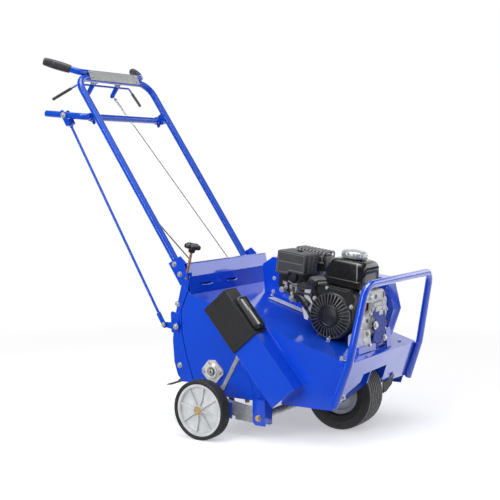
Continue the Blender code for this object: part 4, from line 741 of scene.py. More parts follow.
def front_wheel():
    """A grooved tyre on a bright dished rim with a bolted hub."""
    grooves = (0.0345, 0.0205, 0.0068, -0.0068, -0.0205, -0.0345)
    half_wide = 0.055
    tyre = Shape().lathe(FRONT_AXLE, LEFT, tread(0.1262, 0.0715, half_wide, grooves, 0.0028, 0.0022), 96)
    tyre.dress("front_tyre", TYRE, "front_wheel")

    def notched(angle, radius):
        return 1.0 - 0.0022 * (math.sin(60 * angle) > 0.9)

    ribs = Shape()
    edges = (0.048, *(place + shift for place in grooves for shift in (0.0024, -0.0024)), -0.048)
    for high, low in zip(edges[0::2], edges[1::2]):
        corners = ((high, 0.0012), (high - 0.0005, 0.0), (low + 0.0005, 0.0), (low, 0.0012))
        profile = [(0.1269 - (place / half_wide) ** 2 * 0.003 - sink, place) for place, sink in corners]
        profile += [(0.1235, low), (0.1235, high)]
        ribs.lathe(FRONT_AXLE, LEFT, profile, 120, notched)
    ribs.make("front_tread", TREAD, "front_wheel")
    half = [(0.0101, 0.052), (0.0185, 0.052), (0.02, 0.044), (0.024, 0.03), (0.034, 0.024), (0.048, 0.022)]
    half += [
        (0.056, 0.026), (0.059, 0.036), (0.066, 0.0385), (0.069, 0.0425), (0.0712, 0.0405), (0.0712, 0.036),
    ]
    rim = Shape().lathe(FRONT_AXLE, LEFT, mirrored(half), 64)
    nuts = Shape()
    valves = Shape()
    for y, z in arc(FRONT_AXLE[1:], 0.036, 0, 288, 4):
        for sign in SIGNS:
            rim.bolt((sign * 0.0235, y, z), (sign, 0, 0), 0.0045)
    nut = [(0.0096, 0.0016), (0.015, 0.0016), (0.015, 0.0078), (0.0132, 0.0092), (0.0096, 0.0092)]
    stem = ((0.0385, 0.052), (0.05, 0.049), (0.0515, 0.0485))
    for sign in SIGNS:
        at = (sign * 0.0654, *FRONT_AXLE[1:])
        nuts.lathe(at, (sign, 0, 0), hoop(0.0096, 0.0185, 0.0, 0.0018), 32)
        nuts.lathe(at, (sign, 0, 0), nut, 6)
        foot, neck, tip = [(sign * x, FRONT_AXLE[1] + y, FRONT_AXLE[2]) for x, y in stem]
        valves.rod(foot, neck, 0.0032, 12)
        valves.rod(neck, tip, 0.004, 12)
    rim.dress("front_rim", RIM, "front_wheel")
    nuts.make("front_axle_nuts", ZINC, bevel=0.0004)
    valves.make("front_tyre_valves", RUBBER, "front_wheel")


def rear_wheel(label, sign):
    """A thin grooved tyre on a light ribbed wheel, with a white hoop at each rim edge painted as its
    highlight.
    """
    centre = Vector((sign * REAR_AXLE[0], REAR_AXLE[1], REAR_AXLE[2]))
    body = f"rear_wheel_{label}"
    section = tread(0.1016, 0.0878, 0.022, (0.0135, 0.0045, -0.0045, -0.0135), 0.0016, 0.0012)
    tyre = Shape().lathe(centre, LEFT, section, 96)
    size = Vector((0.0018, 0.0011, 0.0016))
    for index in range(60):
        for half, shift in ((1, 0.0), (-1, math.pi / 60)):
            turn = Matrix.Rotation(2 * math.pi * index / 60 + shift, 4, "X")
            middle = centre + turn @ Vector((half * 0.0175, 0.1001, 0.0))
            tyre.block(middle - size, middle + size, turn)
    tyre.dress(f"rear_tyre_{label}", TYRE, body)
    half = [
        (0.0085, 0.024), (0.014, 0.024), (0.0155, 0.0225),
        (0.0165, 0.012), (0.0225, 0.0085), (0.03, 0.0052),
    ]
    half += [
        (0.074, 0.0045), (0.0775, 0.007), (0.079, 0.015),
        (0.08, 0.0172), (0.0855, 0.0172), (0.0876, 0.0155),
    ]
    rim = Shape().lathe(centre, LEFT, mirrored(half), 72)
    rim.lathe(centre, LEFT, hoop(0.024, 0.0265, 0.0075, -0.0075), 48)
    spoke = ((0.0145, 0.0195, 0.0021), (0.045, 0.0125, 0.0018), (0.0785, 0.015, 0.0021))
    for index in range(8):
        turn = Matrix.Rotation(math.radians(45 * index + 12), 4, "X")
        rows = []
        for radius, reach, thick in spoke:
            corners = ((reach, thick), (reach, -thick), (-reach, -thick), (-reach, thick))
            rows.append([centre + turn @ Vector((x, radius, z)) for x, z in corners])
        rim.rings(rows)
    rim.dress(f"rear_rim_{label}", RIM, body, bevel=0.0006)
    # White hoops on the rim's edges next to the tyre: painted highlights.
    highlight_ring = Shape()
    for low, high in ((0.0176, 0.015), (-0.015, -0.0176)):
        highlight_ring.lathe(centre, LEFT, hoop(0.0845, 0.089, low, high), 72)
    highlight_ring.make(f"rear_rim_highlight_{label}", WHITE, body)


# Engine, in its own tipped frame

def recoil_starter():
    """The fan shroud, and on it the round recoil cover with its louvres, which are lighter grey with light
    edges as painted highlights.
    """
    middle = (0, 0, 0)
    shroud = Shape(ENGINE)
    outline = [*arc((0.0, 0.0), 0.081, -200, 20, 28), (0.092, 0.05), (0.084, 0.088), (0.04, 0.0995)]
    outline += [(-0.06, 0.0995), (-0.084, 0.072)]
    shroud.prism("X", outline, -0.1155, -0.0455)
    shroud.prism("X", [(y * 0.93, z * 0.93) for y, z in outline], -0.1175, -0.11)
    shroud.block((-0.076, -0.086, 0.031), (-0.048, -0.07, 0.059))
    rib = [(0.0805, 0.0), (0.0822, 0.0008), (0.0822, 0.0022), (0.0805, 0.003)]
    for index in range(7):
        shroud.lathe((-0.107 + 0.0085 * index, 0, 0), LEFT, rib, 48)
    shroud.dress("fan_housing", BLACK, bevel=0.0025)
    dish = [(CORE, 0.132), (0.035, 0.132), (0.0372, 0.131), (0.0385, 0.123), (0.073, 0.1175)]
    dish += [(0.077, 0.1215), (0.0788, 0.119), (0.0788, 0.11), (CORE, 0.11)]
    rim = [(0.03, 0.131), (0.03, 0.134), (0.0325, 0.1352), (0.0352, 0.134), (0.0352, 0.131)]
    cover = Shape(ENGINE).lathe(middle, RIGHT, dish, 96).lathe(middle, RIGHT, rim, 72)
    cover.make("recoil_cover", BLACK, bevel=0.0005)
    # The louvres are lighter than the cover, with light edges: painted highlights.
    louvres = Shape(ENGINE)
    for index in range(32):
        turn = Matrix.Rotation(2 * math.pi * index / 32, 4, "X")
        rows = []
        for radius, lift in ((0.0385, 0.1352), (0.056, 0.1325), (0.0745, 0.1262)):
            slant = 0.0012 + 0.001 * (radius - 0.0385) / 0.036
            corners = ((-lift, -slant), (-lift, slant), (-lift + 0.0075, slant), (-lift + 0.0075, -slant))
            rows.append([turn @ Vector((x, side, radius)) for x, side in corners])
        louvres.rings(rows)
    louvres.lathe(middle, RIGHT, [(0.0735, 0.122), (0.0735, 0.1262), (0.0755, 0.1262), (0.0765, 0.122)], 96)
    louvres.make("recoil_louvres", FIN_HIGHLIGHT_GREY, bevel=0.0004)
    places = ((-0.0727, 0.0447), (-0.0035, -0.0772), (0.068, 0.047))
    lugs = Shape(ENGINE)
    for y, z in places:
        lugs.rod((-0.119, y, z), (-0.112, y, z), 0.0095, 20, 0.011)
    lugs.make("recoil_lugs", BLACK, bevel=0.0006)
    fasteners = Shape(ENGINE)
    fasteners.bolts(-0.1188, places, RIGHT, 0.0045)
    fasteners.bolt((-0.1165, 0.0276, 0.0895), RIGHT, 0.0042)
    fasteners.make("recoil_bolts", ZINC, bevel=0.0003)
    plates = Shape(ENGINE)
    upper = [(0.1205, 0.066), (0.068, 0.074), (0.068, 0.0715), (0.097, 0.066), (0.094, 0.04)]
    upper += [(0.0903, 0.0332), (0.1057, 0.0208), (0.117, 0.03)]
    lower = [(0.1217, 0.0037), (0.104, 0.001), (0.095, -0.03), (0.094, -0.038)]
    lower += [(0.1087, -0.036), (0.118, -0.012)]
    plates.prisms("X", (-0.102, -0.1, upper), (-0.102, -0.1, lower))
    plates.block((-0.1008, 0.07, -0.03), (-0.0992, 0.1, 0.07))
    plates.make("shroud_plates", WHITE, bevel=0.0008)


def tank():
    """The glossy tank in two halves with a seam, and its finned bright cap."""
    levels = [(0.1003, 0.012, 0.02), (0.103, 0.0065, 0.022), (0.118, 0.004, 0.024), (0.12, 0.0004, 0.024)]
    levels += [(0.125, 0.0003, 0.024), (0.127, 0.0032, 0.024), (0.15, 0.004, 0.025), (0.172, 0.0062, 0.026)]
    levels += [(0.182, 0.01, 0.027), (0.188, 0.016, 0.027), (0.191, 0.024, 0.025), (0.1918, 0.033, 0.022)]
    body = Shape(ENGINE)
    body.loft("Z", levels, -0.1, 0.052, -0.094, 0.06, 8)
    neck = Vector((-0.022, -0.014, 0.198))
    body.rod(neck - Vector((0, 0, 0.009)), neck - Vector((0, 0, 0.0025)), 0.03, 32, 0.0275)
    body.dress("fuel_tank", TANK_BLACK, bevel=0.0008, angle=40)
    seam = Shape(ENGINE)
    for low, high in ((-0.1005, -0.092), (0.058, 0.0665)):
        for x in (-0.07, 0.02):
            seam.block((x - 0.008, low, 0.1195), (x + 0.008, high, 0.1255))
    seam.make("tank_seam_tabs", BLACK, bevel=0.0008)
    cap = Shape(ENGINE)

    def scallop(angle, radius):
        return 1.0 - 0.035 * (radius > 0.04) * (1 - math.cos(22 * angle)) / 2

    profile = [
        (CORE, 0.0205), (0.018, 0.0218), (0.034, 0.021), (0.04, 0.019), (0.0435, 0.016), (0.045, 0.012),
    ]
    profile += [(0.045, -0.001), (0.043, -0.003), (0.0268, -0.003), (0.0268, 0.0008), (CORE, 0.0008)]
    cap.lathe(neck, UP, profile, 132, wave=scallop)
    cap.lathe(neck, UP, [(0.014, 0.0205), (0.014, 0.0222), (0.018, 0.0222), (0.018, 0.0205)], 40)
    cap.dress("fuel_cap", BRIGHT, "cap", angle=50)


def air_box():
    """The grained air cleaner: a body, a framed cover on the near side with light grey lines painted as
    highlights along its edges and ribs, and a knob on top.
    """
    body = Shape(ENGINE)
    outline = [(0.132, 0.112), (0.19, 0.112), (0.2, 0.102), (0.2455, 0.102), (0.2455, 0.179)]
    outline += [(0.241, 0.1838), (0.137, 0.1838), (0.132, 0.179)]
    joint = [(0.1365, 0.1165), (0.1925, 0.1165), (0.2015, 0.1065), (0.2415, 0.1065), (0.2415, 0.1795)]
    joint += [(0.1365, 0.1795)]
    body.prisms("X", (-0.084, -0.0065, outline), (-0.09, -0.08, joint), (-0.0985, -0.0875, outline))
    for z in (0.128, 0.142, 0.156, 0.17):
        body.block((-0.083, 0.1305, z - 0.0012), (-0.009, 0.133, z + 0.0012))
    body.dress("air_cleaner", GREY_BLACK, bevel=0.0022)
    # Light grey lines along the cover's edges and ribs: painted highlights.
    highlight_lines = Shape(ENGINE)
    face = -0.0985
    loop = [(0.1385, 0.12), (0.193, 0.12), (0.203, 0.1095), (0.239, 0.1095), (0.239, 0.177)]
    loop += [(0.1385, 0.177), *loop[:2]]
    rear = ((0.1338, 0.179), (0.138, 0.183), (0.24, 0.183), (0.2445, 0.179), (0.2445, 0.104))
    highlight_lines.pipe(lay("X", loop, face), 0.0013, 8)
    highlight_lines.block((-0.0995, 0.142, 0.1452), (-0.098, 0.235, 0.1474))
    highlight_lines.pipe(lay("X", rear, face), 0.0011, 8)
    for x in (-0.07, -0.045, -0.02):
        highlight_lines.block((x - 0.001, 0.1308, 0.118), (x + 0.001, 0.1322, 0.178))
    highlight_lines.make("air_cleaner_highlight_frame", HIGHLIGHT_LINE_GREY)
    head = [(CORE, 0.0), (0.011, 0.0), (0.011, 0.004), (0.007, 0.0055), (0.0065, 0.0065), (CORE, 0.0065)]
    knob = Shape(ENGINE).lathe((-0.048, 0.185, 0.1835), UP, head, 32)
    knob.make("air_cleaner_knob", BLACK, bevel=0.0005)


def exhaust():
    """The muffler with its slotted guard and outlet. The guard's bars are grey with lighter edges, painted
    as the highlights on black bars.
    """
    levels = [(0.1182, 0.006, 0.018), (0.121, 0.003, 0.02), (0.15, 0.0022, 0.021), (0.166, 0.003, 0.021)]
    levels += [(0.173, 0.008, 0.02), (0.175, 0.014, 0.016)]
    can = Shape(ENGINE)
    can.loft("Z", levels, -0.002, 0.092, 0.11, 0.244, 7)
    can.dress("muffler", MUFFLER_BLACK, bevel=0.001, angle=40)
    # The guard's bars wear grey as painted highlights.
    guard = Shape(ENGINE)
    bow = ((0.0015, 0.15), (0.0015, 0.1866), (0.089, 0.1866), (0.089, 0.15))
    for index in range(9):
        guard.pipe(lay("Y", bow, 0.1215 + 0.014 * index), 0.003, 8, bend=0.014)
    for x in (0.024, 0.064):
        guard.block((x - 0.003, 0.116, 0.179), (x + 0.003, 0.238, 0.184))
    for x in (-0.0004, 0.0904):
        guard.pipe([(x, 0.114, 0.15), (x, 0.24, 0.15)], 0.0028, 8)
    guard.make("muffler_guard", GUARD_HIGHLIGHT_GREY)
    outlet = Shape(ENGINE).pipe([(0.06, 0.238, 0.16), (0.06, 0.2425, 0.16)], 0.011, 20)
    outlet.make("muffler_outlet", DARK, bevel=0.0006)


def crankcase():
    """The cast crankcase with its inclined cylinder, the fins and the valve cover."""
    block = Shape(ENGINE)
    sections = [(-0.045, 0.006, 0.02), (-0.042, 0.001, 0.022), (0.02, 0.0, 0.022), (0.022, 0.003, 0.022)]
    sections += [(0.026, 0.003, 0.022), (0.028, 0.0, 0.022), (0.08, 0.001, 0.022), (0.086, 0.007, 0.018)]
    block.loft("X", sections, -0.11, 0.08, -0.066, 0.074)
    block.block((-0.04, -0.104, -0.0662), (0.082, 0.076, -0.058))
    block.block((-0.02, -0.06, 0.07), (0.036, 0.02, 0.0994))
    cylinder = [
        ((-0.034, 0.06, -0.044), (0.068, 0.17, 0.044)), ((-0.026, 0.165, -0.04), (0.06, 0.1915, 0.04)),
    ]
    for index in range(8):
        start = 0.096 + 0.0088 * index
        cylinder.append(((-0.0405, start, -0.0495), (0.0755, start + 0.0026, 0.0495)))
    for low, high in cylinder:
        middle = INCLINE @ ((Vector(low) + Vector(high)) / 2)
        half = (Vector(high) - Vector(low)) / 2
        block.block(middle - half, middle + half, INCLINE)
    block.rod((0.045, 0.14, 0.085), (0.045, 0.14, 0.1178), 0.014, 20)
    block.dress("engine_block", CAST, bevel=0.0014)


def crankcase_front():
    """The crankcase's front covers with their bosses and ribs, and black patches painted as shade in their
    recesses.
    """
    front = Shape(ENGINE)
    cover = [(-0.038, -0.048), (0.012, -0.056), (0.07, -0.04), (0.078, 0.03), (0.04, 0.06), (-0.034, 0.056)]
    raised = [(-0.03, -0.01), (0.0, -0.02), (0.034, -0.012), (0.04, 0.04), (-0.02, 0.046)]
    upper = [(-0.072, 0.06), (0.056, 0.06), (0.06, 0.08), (0.04, 0.0975), (-0.066, 0.0975)]
    near = [
        (-0.096, -0.062), (-0.036, -0.062), (-0.036, 0.03), (-0.052, 0.03), (-0.08, 0.012), (-0.092, -0.02),
    ]
    pad = [(-0.06, 0.066), (0.01, 0.068), (0.004, 0.09), (-0.054, 0.092)]
    front.prisms("Y", (-0.1155, -0.104, cover), (-0.1195, -0.11, raised), (-0.1085, -0.07, upper))
    front.prisms("Y", (-0.111, -0.088, near), (-0.112, -0.106, pad))
    front.rod((0.018, -0.1215, 0.016), (0.018, -0.11, 0.016), 0.015, 28, 0.0185)
    for (x, z), reach in zip(CASE_DRAINS, (-0.119, -0.12)):
        front.rod((x, reach, z), (x, -0.106, z), 0.012, 24)
    for z in (-0.03, -0.022, -0.014):
        front.block((0.04, -0.1185, z - 0.0012), (0.074, -0.11, z + 0.0012))
    for x, z in CASE_BOSSES:
        front.rod((x, -0.115, z), (x, -0.106, z), 0.0068, 20)
    for z in (-0.046, -0.034, -0.022):
        front.block((-0.086, -0.113, z - 0.0014), (-0.046, -0.109, z + 0.0014))
    front.make("crankcase_front", CAST, bevel=0.0012)
    # Black patches where the cast covers' recesses lie in shade: painted shade.
    recess_shade = Shape(ENGINE)
    recess_shade.block((-0.046, -0.1, 0.03), (-0.04, -0.086, 0.06))
    recess_shade.prisms(
        "Y",
        (-0.1128, -0.1115, [(-0.03, 0.07), (-0.012, 0.072), (-0.014, 0.084), (-0.028, 0.086)]),
        (-0.1118, -0.1105, [(-0.074, -0.014), (-0.058, -0.008), (-0.056, 0.006), (-0.07, 0.004)]),
        (-0.1093, -0.108, [(0.044, 0.066), (0.054, 0.068), (0.05, 0.086), (0.04, 0.088)]),
    )
    recess_shade.make("crankcase_recess_shade", BLACK)


def engine_foot():
    """The cast foot under the crankcase's near corner, and its bolts."""
    foot = Shape()
    outline = [(-0.248, 0.293), (-0.19, 0.309), (-0.19, 0.345), (-0.228, 0.37), (-0.244, 0.364)]
    outline += [(-0.248, 0.32)]
    foot.prism("X", outline, -0.108, -0.05)
    foot.prism("X", [(y - 0.0018 * (y < -0.24), z) for y, z in outline], -0.1, -0.088)
    foot.make("engine_foot", CAST, bevel=0.0016)
    studs = Shape()
    for x, z, size in ((-0.1025, 0.3302, 0.0062), (-0.07, 0.35, 0.0055), (-0.064, 0.312, 0.006)):
        studs.bolt((x, -0.2478, z), FORWARD, size)
    studs.make("engine_foot_bolts", ZINC, bevel=0.0003)


def crankcase_bolts():
    """The crankcase's bolts, the oil fillers and the spark lead."""
    fasteners = Shape(ENGINE)
    for x, z in ((-0.03, 0.046), (0.036, 0.052), (0.072, 0.024), (-0.033, -0.022), (0.07, -0.03)):
        fasteners.bolt((x, -0.1152, z), FORWARD, 0.0042, washer=False)
    for x, z in CASE_BOSSES:
        fasteners.bolt((x, -0.1148, z), FORWARD, 0.0044, washer=False)
    for (x, z), y in zip(CASE_DRAINS, (-0.1188, -0.1198)):
        fasteners.bolt((x, y, z), FORWARD, 0.0065)
    for y in (-0.09, -0.03, 0.035, 0.066):
        fasteners.bolts(0.0856, ((y, 0.052), (y, -0.05)), LEFT, 0.0042)
    fasteners.make("crankcase_bolts", ZINC, bevel=0.0003)
    fillers = Shape(ENGINE)
    plug = [(CORE, 0.02), (0.0105, 0.02), (0.0115, 0.022), (0.0115, 0.03), (CORE, 0.031)]
    for x, z in CASE_DRAINS:
        fillers.lathe((x, -0.094, z + 0.014), (0, -1, 0.35), plug, 16)
    fillers.make("oil_fillers", BLACK, bevel=0.0005)
    lead = Shape(ENGINE)
    plug_at = INCLINE @ Vector((0.02, 0.192, 0.022))
    cap_at = plug_at + INCLINE @ Vector((0, 0.02, 0.004))
    lead.pipe([plug_at, cap_at], 0.0085, 16)
    path = [cap_at, cap_at + Vector((-0.012, 0.01, -0.03)), (-0.034, 0.15, 0.0), (-0.04, 0.09, 0.005)]
    lead.pipe(path, 0.0033, 12, bend=0.012)
    lead.make("spark_lead", RUBBER)


def carburettor():
    """The carburettor's body, with its bowl below and its neck to the air cleaner, in a darker copy of the
    cast aluminium that is painted shade, with lighter edges that are painted highlights.
    """
    body = Shape(ENGINE)
    body.block((-0.088, 0.15, 0.03), (-0.048, 0.186, 0.072))
    bowl = [(CORE, 0.0), (0.013, 0.0), (0.0165, 0.005), (0.017, 0.026), (CORE, 0.026)]
    body.lathe((-0.068, 0.168, 0.0082), UP, bowl, 32)
    body.rod((-0.06, 0.168, 0.07), (-0.06, 0.168, 0.1115), 0.0175, 28)
    body.block((-0.052, 0.14, 0.034), (-0.0415, 0.176, 0.066))
    body.dress("carburettor", SHADED_CAST, bevel=0.0012)


def inlet_housing():
    """The black housing round the carburettor, its hoses, and the bright fittings on it."""
    housing = Shape(ENGINE)
    rear = [(0.19, 0.038), (0.225, 0.042), (0.2385, 0.056), (0.2395, 0.1015), (0.19, 0.1015)]
    top = [(0.146, 0.08), (0.236, 0.076), (0.236, 0.1015), (0.192, 0.1115), (0.146, 0.1115)]
    housing.prisms("X", (-0.082, -0.03, rear), (-0.086, -0.03, top))
    knob = [(CORE, 0.0), (0.0165, 0.0), (0.0165, 0.009), (0.0135, 0.012), (CORE, 0.012)]
    housing.lathe((-0.086, 0.177, 0.096), RIGHT, knob, 32)
    housing.lathe((-0.082, 0.215, 0.088), RIGHT, disc(0.01, 0.0, 0.006), 24)
    inlet = [(-0.092, 0.156, 0.035), (-0.1, 0.134, 0.033), (-0.106, 0.112, 0.024), (-0.106, 0.096, 0.012)]
    housing.pipe(inlet, 0.0125, 20, bend=0.02)
    breather = [(-0.08, 0.152, 0.07), (-0.102, 0.13, 0.078), (-0.106, 0.1, 0.086)]
    housing.pipe(breather, 0.003, 10, bend=0.012)
    elbow = [(-0.084, 0.21, 0.05), (-0.092, 0.196, 0.04), (-0.09, 0.18, 0.033)]
    housing.pipe(elbow, 0.0042, 12, bend=0.012)
    housing.make("inlet_housing", BLACK, bevel=0.001)
    silver = Shape(ENGINE)
    can = [(CORE, 0.0), (0.0112, 0.0), (0.0125, 0.003), (0.0125, 0.02), (CORE, 0.022)]
    silver.lathe((-0.09, 0.176, 0.021), (-0.35, -0.93, 0.15), can, 24)
    silver.prisms(
        "X",
        (-0.0875, -0.0815, [(0.2, 0.064), (0.219, 0.066), (0.218, 0.076), (0.202, 0.073)]),
        (-0.0905, -0.0875, [(0.156, 0.048), (0.164, 0.044), (0.17, 0.052), (0.16, 0.062)]),
        (-0.0905, -0.0875, [(0.178, 0.056), (0.186, 0.054), (0.188, 0.068), (0.18, 0.07)]),
    )
    silver.bolt((-0.085, 0.22, 0.044), RIGHT, 0.006)
    silver.bolt((-0.0855, 0.204, 0.056), RIGHT, 0.0044)
    wire = [(-0.091, 0.15, 0.076), (-0.093, 0.17, 0.073), (-0.09, 0.196, 0.08)]
    silver.pipe(wire, 0.0014, 8, bend=0.006)
    silver.make("carburettor_fittings", ZINC, bevel=0.0003)


def carburettor_fittings():
    """Small things round the carburettor: bolts, spring, control plate, hoses and the inlet bellows."""
    bolts = Shape(ENGINE)
    bolts.bolt((-0.068, 0.168, 0.0085), DOWN, 0.0045)
    bolts.bolts(-0.088, ((0.158, 0.058), (0.176, 0.038)), RIGHT, 0.0038)
    link_wire = [(-0.094, 0.14, 0.06), (-0.094, 0.158, 0.066), (-0.09, 0.172, 0.066)]
    bolts.pipe(link_wire, 0.0012, 8, bend=0.004)
    bolts.make("carburettor_bolts", ZINC)
    turns = []
    for index in range(120):
        angle = index * 0.62
        round_at = Vector((math.cos(angle), 0.0, math.sin(angle))) * 0.0026
        turns.append(Vector((-0.1, 0.118 + 0.04 * index / 119, 0.064)) + round_at)
    spring = Shape(ENGINE).pipe(turns, 0.0005, 6)
    spring.make("governor_spring", ZINC)
    outline = [(0.086, 0.074), (0.126, 0.07), (0.146, 0.056), (0.146, 0.08), (0.12, 0.094), (0.086, 0.09)]
    plate = Shape(ENGINE).prism("X", outline, -0.113, -0.111)
    plate.make("control_plate", DARK, bevel=0.0006)
    hose = Shape(ENGINE)
    low = [(-0.07, 0.152, 0.03), (-0.086, 0.132, 0.012), (-0.1, 0.112, 0.004), (-0.108, 0.092, -0.008)]
    high = [(-0.05, 0.058, 0.104), (-0.07, 0.09, 0.098), (-0.08, 0.126, 0.06), (-0.076, 0.15, 0.052)]
    hose.pipe([*low, (-0.106, 0.08, -0.03)], 0.0052, 14, bend=0.014)
    hose.pipe(high, 0.0036, 12, bend=0.014)
    hose.make("fuel_hoses", RUBBER)
    bellows = Shape(ENGINE)
    fold = [(0.016, 0.0), (0.0205, 0.001), (0.0205, 0.0026), (0.016, 0.0036)]
    for index in range(6):
        bellows.lathe((-0.06, 0.168, 0.078 + 0.0052 * index), UP, fold, 32)
    bellows.make("inlet_elbow", RUBBER)


def engine_controls():
    """The switch, the starter's grip and rope, and the two small levers."""
    switch = Shape(ENGINE)
    knob = [(CORE, 0.0), (0.0085, 0.0), (0.0085, 0.004), (0.0078, 0.005), (CORE, 0.005)]
    switch.lathe((-0.062, -0.0863, 0.045), FORWARD, knob, 32)
    switch.block((-0.0645, -0.1, 0.0372), (-0.0595, -0.0905, 0.0528))
    switch.dress("engine_switch", RED, "switch", bevel=0.0008)
    grip = Shape(ENGINE)
    middle = Vector((-0.124, 0.08, 0.098))
    ahead = Vector((0.024, 0.04, 0.0)).normalized()
    side = Vector(UP)
    other = ahead.cross(side)
    angles = [2 * math.pi * step / 20 for step in range(20)]
    spokes = [side * math.cos(angle) + other * math.sin(angle) for angle in angles]
    half = [(0.0, 0.0082), (0.4, 0.0086), (0.9, 0.0098), (1.0, 0.0072)]
    stations = [(-share, radius) for share, radius in reversed(half[1:])] + half
    rows = []
    for share, radius in stations:
        rows.append([middle + ahead * 0.0228 * share + spoke * radius for spoke in spokes])
    grip.rings(rows)
    grip.pipe([middle, (-0.124, 0.0586, 0.0552)], 0.0024, 10)
    grip.dress("starter_grip", BLACK, "starter", angle=50)
    arm = Shape(ENGINE)
    arm.prism("X", [(0.079, 0.0505), (0.144, 0.0535), (0.144, 0.0585), (0.079, 0.0595)], -0.1208, -0.1178)
    arm.rod((-0.1225, 0.084, 0.055), (-0.1165, 0.084, 0.055), 0.007, 20)
    arm.rod((-0.1222, 0.139, 0.056), (-0.1166, 0.139, 0.056), 0.0048, 16)
    arm.dress("throttle_lever", DARK, "throttle", bevel=0.0006)
    blade = Shape(ENGINE)
    outline = [(0.1645, 0.0365), (0.1715, 0.0365), (0.1705, 0.0655), (0.1655, 0.0655)]
    blade.prism("X", outline, -0.0935, -0.0905)
    blade.rod((-0.0963, 0.168, 0.06), (-0.0883, 0.168, 0.06), 0.004, 16)
    blade.rod((-0.0955, 0.168, 0.0395), (-0.0895, 0.168, 0.0395), 0.0036, 16)
    blade.dress("choke_lever", DARK, "choke", bevel=0.0005)


# Chassis

def deck_height(y):
    """The height of the sloping deck's top face."""
    return DECK_FRONT[1] + DECK_SLOPE * (y - DECK_FRONT[0])


def bumper():
    """The bent tube in front of the engine, and its tabs on the side plates."""
    path = [(-x, y, z) for x, y, z in BUMPER] + list(reversed(BUMPER))
    tube = Shape().pipe(path, TUBE_RADIUS, 28, bend=0.045)
    foot = Vector(BUMPER[0][1:])
    leg = Vector(BUMPER[1][1:]) - foot

    def upright(sign, inner, outer, front, back):
        rows = []
        for z in (0.15, 0.275):
            y = foot.x + leg.x / leg.y * (z - foot.y)
            low, high = sign * inner, sign * outer
            corners = ((low, front), (high, front), (high, back), (low, back))
            rows.append([(x, y + shift, z) for x, shift in corners])
        tube.rings(rows)

    for sign in SIGNS:
        for z in (0.162, 0.258):
            y = foot.x + leg.x / leg.y * (z - foot.y)
            low, high = span(sign, 0.2644, 0.2812)
            tube.block((low, y - 0.002, z - 0.013), (high, y + 0.034, z + 0.013))
        upright(sign, 0.262, 0.286, -0.002, 0.004)
        upright(sign, 0.2646, 0.268, 0.0, 0.034)
    tube.dress("front_bumper", BLUE, bevel=0.0008)
    outline = [(0.06, 0.16), (0.145, 0.164), (0.132, 0.142), (0.088, 0.124), (0.064, 0.122)]
    flap = Shape().prism("Y", outline, -0.24, -0.236)
    flap.make("front_flap", RUBBER, bevel=0.0006)


def chassis_bolts():
    """The bolts that hold the sheets, the bearings and the engine."""
    fasteners = Shape()
    for sign in SIGNS:
        out = (sign, 0, 0)
        fasteners.bolts(sign * 0.2642, ((0.4064, 0.4328), (0.4, 0.2141)), out, 0.0058)
        for shift in (0.033, -0.033):
            fasteners.bolt((sign * 0.2724, REEL[0] + shift, REEL[1]), out, 0.0052)
        fasteners.bolts(sign * 0.2358, ((0.4152, 0.5354), (0.4394, 0.571)), out, 0.0058)
    fasteners.bolt((0.141, -0.238, 0.172), FRONT_PLATE_OUT, 0.0068, nut=True)
    fasteners.bolt((-0.2442, -0.2405, 0.166), FRONT_PLATE_OUT, 0.0066, nut=True)
    for x, y, size in ((0.15, -0.2026, 0.0068), (0.186, -0.2443, 0.0052), (0.19, 0.29, 0.0055)):
        fasteners.bolt((x, y, deck_height(y)), DECK_UP, size)
    clip = [(-0.259, -0.256), (-0.24, -0.26), (-0.238, -0.238), (-0.256, -0.236)]
    fasteners.prism("Z", clip, 0.289, 0.2915)
    fasteners.block((-0.258, -0.248, 0.29), (-0.2555, -0.238, 0.303))
    fasteners.bolts(-0.2683, ((0.149, 0.264), (0.213, 0.154)), RIGHT, 0.0052)
    fasteners.make("chassis_bolts", ZINC, bevel=0.0003)
    yellow = Shape()
    for sign in SIGNS:
        yellow.bolt((sign * 0.3071, 0.0426, 0.075), (sign, 0, 0), 0.0065)
    yellow.make("ear_bolts", BRASS, bevel=0.0004)


